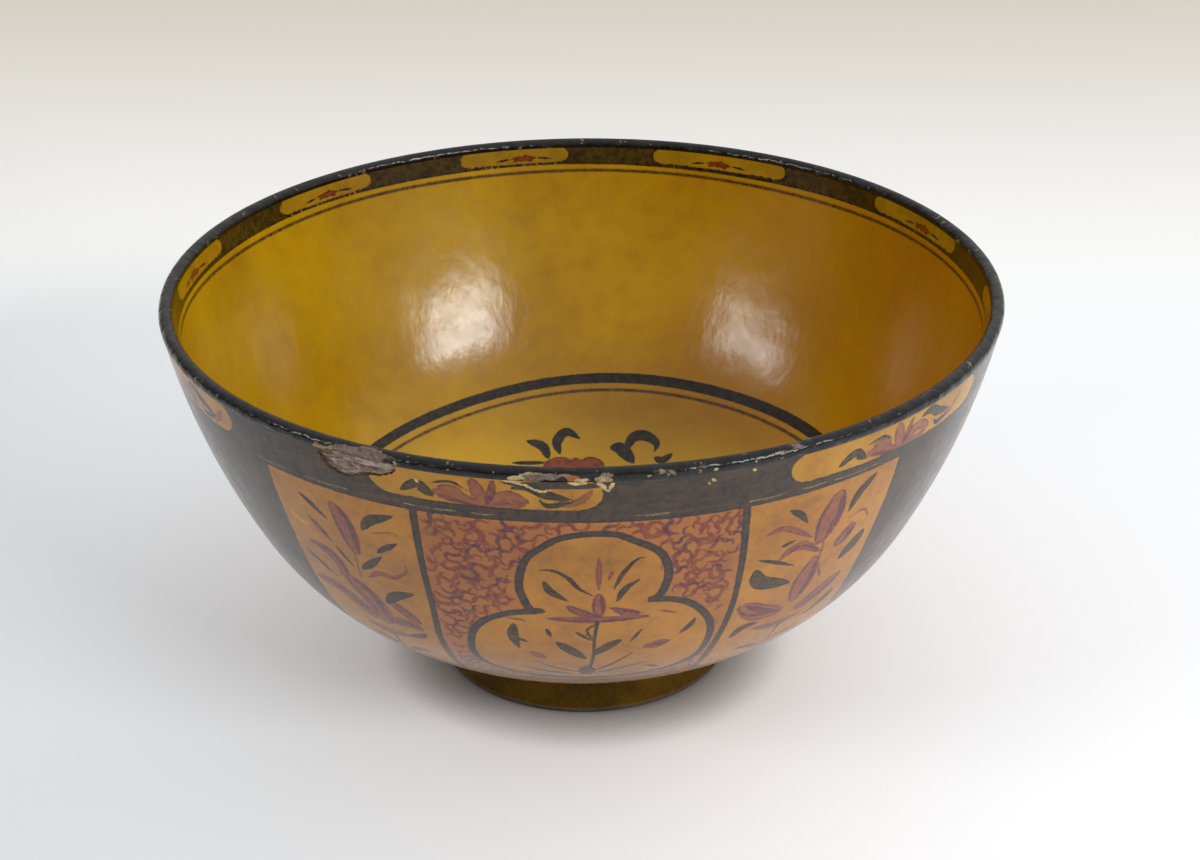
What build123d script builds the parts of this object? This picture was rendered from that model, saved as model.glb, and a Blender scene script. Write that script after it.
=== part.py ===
from build123d import *
from math import cos, radians, sin, sqrt
import os

os.makedirs("parts", exist_ok=True)

# A lacquered papier-mache bowl on a low foot ring. Lengths are in millimetres.
# +Z is up, the floor is Z = 0, and the bowl is turned about Z. The front panel faces -Y.

# Outer face of the wall: a flat base, a lower arc and a flatter side arc that runs on from it
rim_radius = 102.5
base_height = 11.2
lower_radius = 73.5
lower_turn = 62.0
side_radius = 184.0
side_turn = 16.45

# Layers of the wall, from the outside in
outer_lacquer_thickness = 0.3
outer_ground_thickness = 0.5
paper_thickness = 1.5
inner_ground_thickness = 0.5
inner_lacquer_thickness = 0.3

# Black bead bound on the edge of the wall
bead_overhang = 0.15

# Foot ring, its lacquer, the bare edge below the lacquer and the coat inside the ring
foot_radius = 37.9
foot_wall = 6.5
foot_flare = 0.9
foot_edge_radius = 1.2
foot_lacquer_thickness = 0.4
foot_bare_height = 0.8
recess_coat_thickness = 0.3

# Loss left of the front: bead and ground broken off down to the paper
left_loss_bearing = -28.0
left_loss_drop = 2.4
left_loss_half_width = 9.8
left_loss_half_height = 4.2
lacquer_break_back = 0.8

# Loss at the front: the outside of the bead scuffed away
front_loss_bearing = -2.8
front_loss_drop = 0.3
front_loss_half_width = 10.4
front_loss_half_height = 2.0

# Nick in the top of the bead, right of the front
nick_bearing = 26.4
nick_half_width = 2.2
nick_depth = 0.7

# How far the losses go into the outside of the bead, and one overrun for every cut
bead_loss_depth = 1.1
overrun = 3.0

# Ragged outline of a loss, as shares of its half width and half height
loss_outline_shares = (
    (-1.0, 0.1),
    (-0.62, 0.78),
    (-0.1, 0.9),
    (0.42, 1.0),
    (0.95, 0.62),
    (1.0, -0.35),
    (0.52, -0.82),
    (0.08, -0.6),
    (-0.45, -1.0),
    (-0.86, -0.58),
)

# Depths of the layers below the outer face
outer_ground_depth = outer_lacquer_thickness
paper_depth = outer_ground_depth + outer_ground_thickness
inner_ground_depth = paper_depth + paper_thickness
inner_lacquer_depth = inner_ground_depth + inner_ground_thickness
wall_thickness = inner_lacquer_depth + inner_lacquer_thickness

# The bead is a little wider than the wall and is cut flat where it sits on the edge
half_wall = wall_thickness / 2
bead_radius = half_wall + bead_overhang
bead_seat_drop = sqrt(bead_radius**2 - half_wall**2)

# The edge of the wall leans out as far as the two arcs have turned
edge_turn = lower_turn + side_turn
edge_out = sin(radians(edge_turn))
edge_up = cos(radians(edge_turn))
bead_centre_radius = rim_radius - bead_radius
edge_radius = bead_centre_radius - bead_seat_drop * edge_up + half_wall * edge_out

# The flat base takes what the two arcs leave of the edge's radius
lower_run = lower_radius * sin(radians(lower_turn))
side_run = side_radius * (edge_out - sin(radians(lower_turn)))
base_radius = edge_radius - lower_run - side_run
lower_rise = lower_radius * (1 - cos(radians(lower_turn)))
side_rise = side_radius * (cos(radians(lower_turn)) - edge_up)
edge_height = base_height + lower_rise + side_rise
bead_centre_height = edge_height + half_wall * edge_up + bead_seat_drop * edge_out

# The foot ring leaves a round recess under the bowl
recess_radius = foot_radius - foot_wall
foot_core_radius = foot_radius - foot_lacquer_thickness


def face_point(turn, depth):
    """The place on a layer's face where the outer face has turned so far from level."""
    out = sin(radians(turn))
    up = cos(radians(turn))
    if turn <= lower_turn:
        radius = base_radius + lower_radius * out
        height = base_height + lower_radius * (1 - up)
    else:
        radius = edge_radius - side_radius * (edge_out - out)
        height = edge_height - side_radius * (up - edge_up)
    return (radius - depth * out, height + depth * up)


def draw_face(depth):
    """Draws half of the bowl's section line at a depth, from the axis up to the edge."""
    base = Line((0, base_height + depth), face_point(0, depth))
    lower = RadiusArc(base @ 1, face_point(lower_turn, depth), depth - lower_radius)
    RadiusArc(lower @ 1, face_point(edge_turn, depth), depth - side_radius)


def draw_layer(near_depth, far_depth):
    """Draws the closed section of a layer between two depths."""
    draw_face(near_depth)
    draw_face(far_depth)
    Line(face_point(edge_turn, near_depth), face_point(edge_turn, far_depth))
    Line((0, base_height + near_depth), (0, base_height + far_depth))


def facing(bearing, height):
    """An upright plane through the axis that looks outward at a bearing from the front."""
    out = (sin(radians(bearing)), -cos(radians(bearing)), 0)
    across = (cos(radians(bearing)), sin(radians(bearing)), 0)
    return Plane(origin=(0, 0, height), x_dir=across, z_dir=out)


def loss_cutter(bearing, height, half_width, half_height, inner_radius):
    """A block with a ragged outline that reaches from outside the rim in to a radius."""
    with BuildPart() as cutter:
        with BuildSketch(facing(bearing, height).offset(inner_radius)):
            with BuildLine():
                outline = [(x * half_width, y * half_height) for x, y in loss_outline_shares]
                Spline(*outline, periodic=True)
            make_face()
        extrude(amount=rim_radius + overrun - inner_radius)
    return cutter.part


left_loss_height = bead_centre_height - left_loss_drop
front_loss_height = bead_centre_height - front_loss_drop
bead_loss_radius = rim_radius - bead_loss_depth
ground_loss_radius = rim_radius - 2 * overrun
left_loss = loss_cutter(
    left_loss_bearing, left_loss_height, left_loss_half_width, left_loss_half_height, bead_loss_radius
)
left_ground_loss = loss_cutter(
    left_loss_bearing,
    left_loss_height,
    left_loss_half_width,
    left_loss_half_height,
    ground_loss_radius,
)
left_lacquer_loss = loss_cutter(
    left_loss_bearing,
    left_loss_height,
    left_loss_half_width + lacquer_break_back,
    left_loss_half_height + lacquer_break_back,
    ground_loss_radius,
)
front_loss = loss_cutter(
    front_loss_bearing,
    front_loss_height,
    front_loss_half_width,
    front_loss_half_height,
    bead_loss_radius,
)

# Everything from the floor up that the foot ring takes, recess left out
with BuildPart() as foot_room:
    with BuildSketch(Plane.XZ):
        with BuildLine():
            Polyline(
                (recess_radius, 0),
                (foot_radius, 0),
                (foot_radius - foot_flare, base_height),
                (foot_radius - foot_flare, base_height + foot_radius),
                (recess_radius, base_height + foot_radius),
                close=True,
            )
        make_face()
    revolve(axis=Axis.Z)

# The bowl filled from the outside of the paper to the level of its edge
with BuildPart() as paper_fill:
    with BuildSketch(Plane.XZ):
        with BuildLine():
            draw_face(paper_depth)
            edge_corner = face_point(edge_turn, paper_depth)
            Line(edge_corner, (0, edge_corner[1]))
            Line((0, edge_corner[1]), (0, base_height + paper_depth))
        make_face()
    revolve(axis=Axis.Z)

# Paper wall: the laminated paper shell that carries everything else
with BuildPart() as paper_wall:
    with BuildSketch(Plane.XZ):
        with BuildLine():
            draw_layer(paper_depth, inner_ground_depth)
        make_face()
    revolve(axis=Axis.Z)

# Outer ground: the chalk layer outside, from the foot ring to the edge
with BuildPart() as outer_ground:
    with BuildSketch(Plane.XZ):
        with BuildLine():
            draw_layer(outer_ground_depth, paper_depth)
        make_face()
    revolve(axis=Axis.Z)
    with BuildSketch():
        Circle(recess_radius + foot_wall / 2)
    extrude(amount=edge_height, mode=Mode.SUBTRACT)
    add(foot_room.part, mode=Mode.SUBTRACT)
    add(left_ground_loss, mode=Mode.SUBTRACT)

# Outer lacquer: the painted film over the outer ground
with BuildPart() as outer_lacquer:
    with BuildSketch(Plane.XZ):
        with BuildLine():
            draw_layer(0, outer_ground_depth)
        make_face()
    revolve(axis=Axis.Z)
    with BuildSketch():
        Circle(recess_radius + foot_wall / 2)
    extrude(amount=edge_height, mode=Mode.SUBTRACT)
    add(foot_room.part, mode=Mode.SUBTRACT)
    add(left_lacquer_loss, mode=Mode.SUBTRACT)

# Inner ground: the chalk layer inside
with BuildPart() as inner_ground:
    with BuildSketch(Plane.XZ):
        with BuildLine():
            draw_layer(inner_ground_depth, inner_lacquer_depth)
        make_face()
    revolve(axis=Axis.Z)

# Inner lacquer: the glossy film over the inner ground
with BuildPart() as inner_lacquer:
    with BuildSketch(Plane.XZ):
        with BuildLine():
            draw_layer(inner_lacquer_depth, wall_thickness)
        make_face()
    revolve(axis=Axis.Z)

# Rim bead: a lacquered cord of rolled paper, flat where it sits on the edge of the wall
with BuildPart() as rim_bead:
    with BuildSketch(Plane.XZ):
        with Locations((bead_centre_radius, bead_centre_height)):
            Circle(bead_radius)
        with BuildLine():
            outer_edge = face_point(edge_turn, 0)
            inner_edge = face_point(edge_turn, wall_thickness)
            down = (-bead_radius * edge_up, -bead_radius * edge_out)
            Polyline(
                outer_edge,
                inner_edge,
                (inner_edge[0] + down[0], inner_edge[1] + down[1]),
                (outer_edge[0] + down[0], outer_edge[1] + down[1]),
                close=True,
            )
        make_face(mode=Mode.SUBTRACT)
    revolve(axis=Axis.Z)
    add(left_loss, mode=Mode.SUBTRACT)
    add(front_loss, mode=Mode.SUBTRACT)
    with BuildSketch(facing(nick_bearing, bead_centre_height + bead_radius)):
        Ellipse(nick_half_width, nick_depth)
    extrude(amount=rim_radius + overrun, mode=Mode.SUBTRACT)

# Foot ring: glued under the paper and rounded where it stands
with BuildPart() as foot_ring:
    with BuildSketch(Plane.XZ) as foot_section:
        with BuildLine():
            Polyline(
                (recess_radius, 0),
                (foot_core_radius, 0),
                (foot_core_radius - foot_flare, base_height),
                (foot_core_radius - foot_flare, base_height + foot_radius),
                (recess_radius, base_height + foot_radius),
                close=True,
            )
        make_face()
        floor_corners = foot_section.vertices().group_by(Axis.Y)[0]
        fillet(floor_corners, radius=min(foot_edge_radius, foot_wall / 4))
    revolve(axis=Axis.Z)
    add(paper_fill.part, mode=Mode.SUBTRACT)

# Foot lacquer: the film round the foot, worn away at the floor
with BuildPart() as foot_lacquer:
    add(foot_room.part)
    add(paper_fill.part, mode=Mode.SUBTRACT)
    add(foot_ring.part, mode=Mode.SUBTRACT)
    with BuildSketch():
        Circle(foot_radius + overrun)
    extrude(amount=foot_edge_radius + foot_bare_height, mode=Mode.SUBTRACT)

# Recess coat: the dark film on the paper inside the foot ring
with BuildPart() as recess_coat:
    with BuildSketch(Plane.XZ):
        with BuildLine():
            draw_layer(paper_depth - recess_coat_thickness, paper_depth)
        make_face()
    revolve(axis=Axis.Z)
    with BuildSketch():
        Circle(recess_radius)
    extrude(amount=edge_height, mode=Mode.INTERSECT)

pieces = {
    "paper_wall": paper_wall,
    "outer_ground": outer_ground,
    "outer_lacquer": outer_lacquer,
    "inner_ground": inner_ground,
    "inner_lacquer": inner_lacquer,
    "rim_bead": rim_bead,
    "foot_ring": foot_ring,
    "foot_lacquer": foot_lacquer,
    "recess_coat": recess_coat,
}
for name, piece in pieces.items():
    piece.part.label = name
    export_step(piece.part, f"parts/{name}.step")
    box = piece.part.bounding_box()
    print(name, len(piece.part.solids()), round(piece.part.volume), box.min, box.max)
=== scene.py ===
import math

import bmesh
import bpy
import numpy as np
from mathutils import Matrix, Vector
from mathutils.geometry import delaunay_2d_cdt


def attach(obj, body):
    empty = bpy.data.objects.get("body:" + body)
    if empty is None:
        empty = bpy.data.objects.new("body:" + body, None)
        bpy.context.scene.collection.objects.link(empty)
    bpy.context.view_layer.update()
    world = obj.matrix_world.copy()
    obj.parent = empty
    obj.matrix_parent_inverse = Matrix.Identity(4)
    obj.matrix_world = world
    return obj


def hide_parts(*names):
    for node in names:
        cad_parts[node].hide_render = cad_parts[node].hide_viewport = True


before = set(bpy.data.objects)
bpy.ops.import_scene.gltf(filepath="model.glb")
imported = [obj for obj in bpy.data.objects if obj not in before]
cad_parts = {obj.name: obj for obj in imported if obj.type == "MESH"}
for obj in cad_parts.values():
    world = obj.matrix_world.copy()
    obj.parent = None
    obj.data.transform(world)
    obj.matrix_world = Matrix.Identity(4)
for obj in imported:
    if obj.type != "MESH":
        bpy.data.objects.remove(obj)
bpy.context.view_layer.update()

# A lacquered papier-mache bowl on a foot ring, painted outside and in. Lengths here are in
# millimetres, as in the part's source, and are made metres where a mesh is written.
# Bearings are in degrees round the bowl: 0 faces the front, -Y, and they grow towards +X.
# "Below" is a length down the face of the wall from its edge. Depth is below the outer face.

metre = 0.001

# The wall and its layers
rim_radius = 102.5
base_height = 11.2
lower_radius = 73.5
lower_turn = math.radians(62.0)
side_radius = 184.0
side_turn = math.radians(16.45)
edge_turn = lower_turn + side_turn
outer_lacquer_thickness = 0.3
outer_ground_depth = 0.3
paper_depth = 0.8
inner_lacquer_depth = 2.8
wall_thickness = 3.1

# The bead on the edge
bead_radius = wall_thickness / 2 + 0.15
bead_seat_drop = math.sqrt(bead_radius**2 - (wall_thickness / 2) ** 2)
bead_centre_radius = rim_radius - bead_radius
edge_radius = (
    bead_centre_radius
    - bead_seat_drop * math.cos(edge_turn)
    + wall_thickness / 2 * math.sin(edge_turn)
)
side_run = side_radius * (math.sin(edge_turn) - math.sin(lower_turn))
base_radius = edge_radius - lower_radius * math.sin(lower_turn) - side_run
side_rise = side_radius * (math.cos(lower_turn) - math.cos(edge_turn))
edge_height = base_height + lower_radius * (1 - math.cos(lower_turn)) + side_rise
bead_centre_height = (
    edge_height + wall_thickness / 2 * math.cos(edge_turn) + bead_seat_drop * math.sin(edge_turn)
)

# The foot ring
foot_radius = 37.9
foot_flare = 0.9
foot_top_radius = foot_radius - foot_flare

# Losses on the rim: bearing, height, half width and half height
left_loss = (-28.0, bead_centre_height - 2.4, 9.8, 4.2)
front_loss = (-2.8, bead_centre_height - 0.3, 10.4, 2.0)
nick = (26.4, bead_centre_height + bead_radius, 2.2, 0.7)
# What shows in the front loss: layer, bearing, height over the bead's middle, half sizes
front_patches = (
    ("chalk", -8.0, -0.3, 1.7, 0.7),
    ("fibre", -6.0, 0.0, 3.2, 1.1),
    ("fibre", -3.9, 0.1, 1.9, 0.8),
    ("chalk", -6.2, 0.75, 2.2, 0.3),
    ("rust", -1.3, -0.1, 1.5, 0.8),
    ("chalk", -0.2, -0.6, 1.6, 0.5),
    ("fibre", -1.9, 0.5, 1.4, 0.4),
    ("chalk", 2.3, -0.5, 1.8, 0.8),
    ("fibre", 2.6, 0.6, 1.4, 0.5),
    ("chalk", -33.0, -0.7, 2.3, 0.8),
    ("rust", -31.2, -1.1, 1.3, 0.5),
    # A dark brown patch painted as the shade of a hollow in the left loss.
    ("hollow_shade", -23.9, -0.8, 1.4, 0.9),
    ("chalk", -22.7, -0.2, 0.6, 0.6),
    ("chalk", 7.6, 0.1, 0.5, 0.25),
    ("chalk", 15.6, -0.1, 0.5, 0.3),
    ("chalk", 20.6, 0.3, 0.4, 0.3),
    ("chalk", -16.0, 0.4, 0.3, 0.2),
)
lacquer_break_back = (0.5, 1.6, 0.9, 0.1, 0.1, 0.2, 0.1, 0.1, 0.2, 0.3)
loss_depth = 1.1
front_loss_depth = 0.5
loss_outline = (
    (-1.0, 0.1),
    (-0.62, 0.78),
    (-0.1, 0.9),
    (0.42, 1.0),
    (0.88, 0.68),
    (0.92, 0.02),
    (0.56, -0.46),
    (0.1, -0.66),
    (-0.42, -0.96),
    (-0.86, -0.58),
)


# ---- Places on the wall


def lengths(depth):
    """How long the flat base, the lower arc and the side arc are on a face at a depth."""
    lower = (lower_radius - depth) * lower_turn
    side = (side_radius - depth) * side_turn
    return base_radius, lower, side


def whole_run(depth):
    """From the middle of the bowl to the edge along a face."""
    return sum(lengths(depth))


def turn_at(below, depth):
    """How far the wall has turned up from level."""
    side = lengths(depth)[2]
    on_side = edge_turn - below / (side_radius - depth)
    on_lower = lower_turn - (below - side) / (lower_radius - depth)
    return np.clip(np.where(below < side, on_side, on_lower), 0, None)


def ring_at(below, depth):
    """Radius and height of the wall at a length below its edge."""
    base, lower, side = lengths(depth)
    turn = turn_at(below, depth)
    out, up = np.sin(turn), np.cos(turn)
    on_side = edge_radius - side_radius * (math.sin(edge_turn) - out) - depth * out
    on_lower = base_radius + (lower_radius - depth) * out
    past = np.clip(below - side - lower, 0, None)
    radius = np.where(below < side, on_side, on_lower - past)
    side_height = edge_height - side_radius * (up - math.cos(edge_turn))
    lower_height = base_height + lower_radius * (1 - up)
    height = np.where(below < side, side_height, lower_height) + depth * up
    return radius, height


def places(bearing, below, depth, lift=0.0):
    """Points on the wall's face. Lift stands them off it, away from the outer face's side."""
    angle = np.radians(bearing)
    radius, height = ring_at(below, depth)
    turn = turn_at(below, depth)
    radius = radius + lift * np.sin(turn)
    height = height - lift * np.cos(turn)
    return np.stack((radius * np.sin(angle), -radius * np.cos(angle), height), -1)


def outward(bearing, below, depth):
    """The outer face's direction at each place."""
    angle = np.radians(bearing)
    turn = turn_at(below, depth)
    return np.stack(
        (np.sin(turn) * np.sin(angle), -np.sin(turn) * np.cos(angle), -np.cos(turn)), -1
    )


def opened(bearing, below, depth):
    """The wall laid out flat, as if opened from the middle of its floor."""
    out = whole_run(depth) - below
    angle = np.radians(bearing)
    return np.stack((out * np.sin(angle), -out * np.cos(angle)), -1)


def folded(flat, depth):
    """Back from the flat layout to bearing and length below the edge."""
    out = np.hypot(flat[..., 0], flat[..., 1])
    bearing = np.degrees(np.arctan2(flat[..., 0], -flat[..., 1]))
    return bearing, whole_run(depth) - out


def smooth_line(points, step):
    """Places about a step apart along a smooth line through a few given ones."""
    points = np.asarray(points, float)
    before = 2 * points[0] - points[1]
    after = 2 * points[-1] - points[-2]
    knots = np.vstack((before, points, after))
    found = []
    for first, a, b, last in zip(knots, knots[1:], knots[2:], knots[3:]):
        count = max(2, int(np.ceil(np.linalg.norm(b - a) / step)))
        t = np.linspace(0, 1, count, endpoint=False)[:, None]
        bend = 2 * first - 5 * a + 4 * b - last
        swing = 3 * a - first - 3 * b + last
        found.append(0.5 * (2 * a + (b - first) * t + bend * t**2 + swing * t**3))
    found.append(points[-1:])
    return np.vstack(found)


def brush_width(shape, share):
    """How wide the brush was pressed along a stroke, as a share of its full width."""
    if shape == "leaf":
        return np.clip(np.sin(np.pi * share**0.85), 0, 1) ** 0.7
    if shape == "petal":
        return np.clip(np.sin(np.pi * (0.08 + 0.86 * share)), 0, 1) ** 0.55
    if shape == "tail":
        return (1 - share) ** 0.6
    return 0.93 + 0.07 * np.cos(2.2 * np.pi * share)


def polygon_distance(spots, outline):
    """Signed distance of flat spots from a closed outline, positive inside."""
    a = outline
    b = np.roll(outline, -1, axis=0)
    side = b - a
    to_spot = spots[:, None] - a[None]
    share = (to_spot * side).sum(2) / np.maximum((side**2).sum(1), 1e-9)
    gap = to_spot - np.clip(share, 0, 1)[..., None] * side
    distance = np.sqrt((gap**2).sum(2).min(1))
    above = (a[None, :, 1] > spots[:, None, 1]) != (b[None, :, 1] > spots[:, None, 1])
    rise = np.where(side[:, 1] == 0, 1e-9, side[:, 1])
    cross = a[:, 0] + (spots[:, None, 1] - a[None, :, 1]) * side[:, 0] / rise
    inside = (above & (spots[:, None, 0] < cross)).sum(1) % 2 == 1
    return np.where(inside, distance, -distance)


def turned(bearing, middle):
    """Bearings as degrees either side of a middle one."""
    return (bearing - middle + 180) % 360 - 180


# ---- Painting

# Lengths below the edge in the painting's tables start this far below the edge itself
painting_start = 1.4


class Painting:
    """Brush marks on one face of the bowl. The film of that face is then cut so that its
    mesh follows them, and carries each pigment's distance from the edge of its paint."""

    reach = 1.0
    fullness = 3.0

    def __init__(self, depth, seed, start):
        self.depth = depth
        self.start = start
        self.marks = {}
        self.knots = []
        self.hand = np.random.default_rng(seed)

    def _keep(self, pigment, mark):
        self.marks.setdefault(pigment, []).append(mark)

    def follow(self, bearing, below):
        """Asks for mesh points at these places."""
        flat = opened(np.asarray(bearing, float), np.asarray(below, float), self.depth)
        self.knots.append(flat)

    def stroke(self, pigment, shape, half, points, floor=False, loose=0.0, beside=0.55):
        """One brush stroke. Points are bearings and lengths below the edge, or for a stroke
        on the floor of the bowl, millimetres right of and beyond its middle."""
        points = np.asarray(points, float)
        if floor:
            line = points
            scale = 1.0
        else:
            points = points + (0, self.start)
            middle = points[:, 1].mean()
            scale = float(np.radians(ring_at(middle, self.depth)[0]))
            line = points * (scale, 1.0)
        if loose:
            line = line + self.hand.normal(0, loose, 2)
        line = smooth_line(line, 0.3)
        steps = np.linalg.norm(np.diff(line, axis=0), axis=1)
        share = np.concatenate(((0,), np.cumsum(steps))) / max(steps.sum(), 1e-6)
        width = np.maximum(half * brush_width(shape, share), 0.16)
        along = np.gradient(line, axis=0)
        along /= np.maximum(np.linalg.norm(along, axis=1), 1e-9)[:, None]
        across = np.stack((-along[:, 1], along[:, 0]), -1)
        every = slice(None, None, 2)
        rows = [line[every]]
        for offset in (width, width + beside):
            rows.append((line + across * offset[:, None])[every])
            rows.append((line - across * offset[:, None])[every])
        rows.append(line[:1] - along[:1] * (width[0] + 0.3))
        rows.append(line[-1:] + along[-1:] * (width[-1] + 0.3))
        rows = np.vstack(rows)
        if floor:
            self.knots.append(rows)
            bearing, below = folded(line, self.depth)
        else:
            self.follow(rows[:, 0] / scale, rows[:, 1])
            bearing, below = line[:, 0] / scale, line[:, 1]
        centres = places(bearing, below, self.depth)
        self._keep(pigment, ("stroke", centres, width))

    def area(self, pigment, outline, add=True, middle=None):
        """A filled shape with a closed outline, painted or left free of the pigment."""
        outline = np.asarray(outline, float) + (0, self.start)
        centre = outline[:, 0].mean() if middle is None else middle
        shape = np.stack((turned(outline[:, 0], centre), outline[:, 1]), -1)
        for offset in (0, 1):
            here = shape[offset:]
            self.follow(here[:, 0] + centre, here[:, 1])
        self._keep(pigment, ("area", centre, shape, add))

    def band(self, pigment, top, bottom, wander=0.0, phase=0.0, add=True):
        """A ring painted all round between two lengths below the edge."""
        ring = np.arange(0, 360, 0.5)
        top += self.start
        bottom += self.start
        for edge in (top, bottom):
            if edge > 0:
                for beside in (-0.5, 0, 0.5):
                    self.follow(ring, edge + beside + self.wobble(ring, wander, phase))
        self._keep(pigment, ("band", top, bottom, wander, phase, add))

    @staticmethod
    def wobble(bearing, amount, phase):
        angle = np.radians(bearing)
        return amount * (
            0.6 * np.sin(3 * angle + phase) + 0.4 * np.sin(7 * angle + 2 * phase + 1)
        )

    def field(self, pigment, bearing, below):
        """Distance of each place into a pigment's paint, negative outside it."""
        spots = places(bearing, below, self.depth)
        value = np.full(len(spots), -self.reach)
        for kind, *mark in self.marks.get(pigment, ()):
            if kind == "stroke":
                centres, width = mark
                room = width.max() + self.reach
                low, high = centres.min(0) - room, centres.max(0) + room
                near = np.flatnonzero(((spots > low) & (spots < high)).all(1))
                if len(near):
                    gap = np.linalg.norm(spots[near, None] - centres[None], axis=2)
                    value[near] = np.maximum(value[near], (width[None] - gap).max(1))
                continue
            if kind == "band":
                top, bottom, wander, phase, add = mark
                drift = self.wobble(bearing, wander, phase)
                inside = np.minimum(below - top - drift, bottom + drift - below)
                if top <= 0:
                    inside = bottom + drift - below
                value = np.maximum(value, inside) if add else np.minimum(value, -inside)
                continue
            centre, shape, add = mark
            scale = float(np.radians(ring_at(shape[:, 1].mean(), self.depth)[0]))
            away = turned(bearing, centre)
            room = np.array((2 / scale, 2))
            low, high = shape.min(0) - room, shape.max(0) + room
            near = np.flatnonzero(
                (away > low[0]) & (away < high[0]) & (below > low[1]) & (below < high[1])
            )
            if len(near):
                here = np.stack((away[near], below[near]), -1) * (scale, 1)
                inside = polygon_distance(here, shape * (scale, 1))
                if add:
                    value[near] = np.maximum(value[near], inside)
                else:
                    value[near] = np.minimum(value[near], -inside)
        return np.clip(value, -self.reach, self.fullness)


def rounded_bar(middle, half_angle, centre, half_height, depth, squash=1.0):
    """The outline of a cartouche: a bar with round ends."""
    scale = float(np.radians(ring_at(centre, depth)[0]))
    half = half_angle * scale
    straight = half - half_height * squash
    turn = np.linspace(-90, 90, 9)
    right = np.stack(
        (
            straight + half_height * squash * np.cos(np.radians(turn)),
            half_height * np.sin(np.radians(turn)),
        ),
        -1,
    )
    run = np.linspace(straight, -straight, 14)[1:-1]
    top = np.stack((run, np.full(12, half_height)), -1)
    shape = np.vstack((right, top, -right, -top))
    return np.stack((middle + shape[:, 0] / scale, centre + shape[:, 1]), -1)


# ---- The painted outside: six cartouches, and three panels with a trefoil between flowers

outer_cartouches = (
    (-12.2, 14.5, 0.0),
    (43.4, 17.7, 1.1),
    (105.5, 15.5, -0.6),
    (168.0, 15.0, 0.5),
    (-129.5, 16.0, 0.0),
    (-65.5, 15.4, 0.7),
)

trefoil_top = (
    (-6.1, 39.3),
    (-7.65, 38.7),
    (-8.4, 35.1),
    (-8.8, 31.3),
    (-8.6, 27.4),
    (-8.0, 23.5),
    (-7.1, 20.3),
    (-5.5, 17.7),
    (-3.6, 15.1),
    (-1.3, 13.7),
    (1.4, 13.2),
    (4.1, 13.7),
    (6.4, 15.9),
    (8.7, 18.4),
    (10.0, 20.9),
    (10.8, 24.2),
    (11.1, 28.0),
    (10.8, 31.9),
    (10.2, 34.5),
    (9.15, 35.9),
)
trefoil_left = (
    (-7.0, 39.6),
    (-9.8, 40.3),
    (-12.5, 42.2),
    (-14.8, 44.8),
    (-16.7, 48.7),
    (-17.85, 53.2),
    (-18.4, 57.1),
    (-18.6, 60.0),
    (-18.3, 64.0),
    (-16.5, 68.0),
    (-12.0, 71.6),
    (-6.0, 73.4),
    (0.0, 74.2),
)
trefoil_right = (
    (9.15, 35.8),
    (11.8, 36.4),
    (14.1, 38.0),
    (16.0, 40.6),
    (17.7, 44.2),
    (18.9, 48.0),
    (19.5, 51.9),
    (19.65, 55.8),
    (19.5, 60.0),
    (18.9, 64.0),
    (16.5, 68.4),
    (12.0, 71.8),
    (6.0, 73.6),
    (0.0, 74.2),
)

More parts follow.
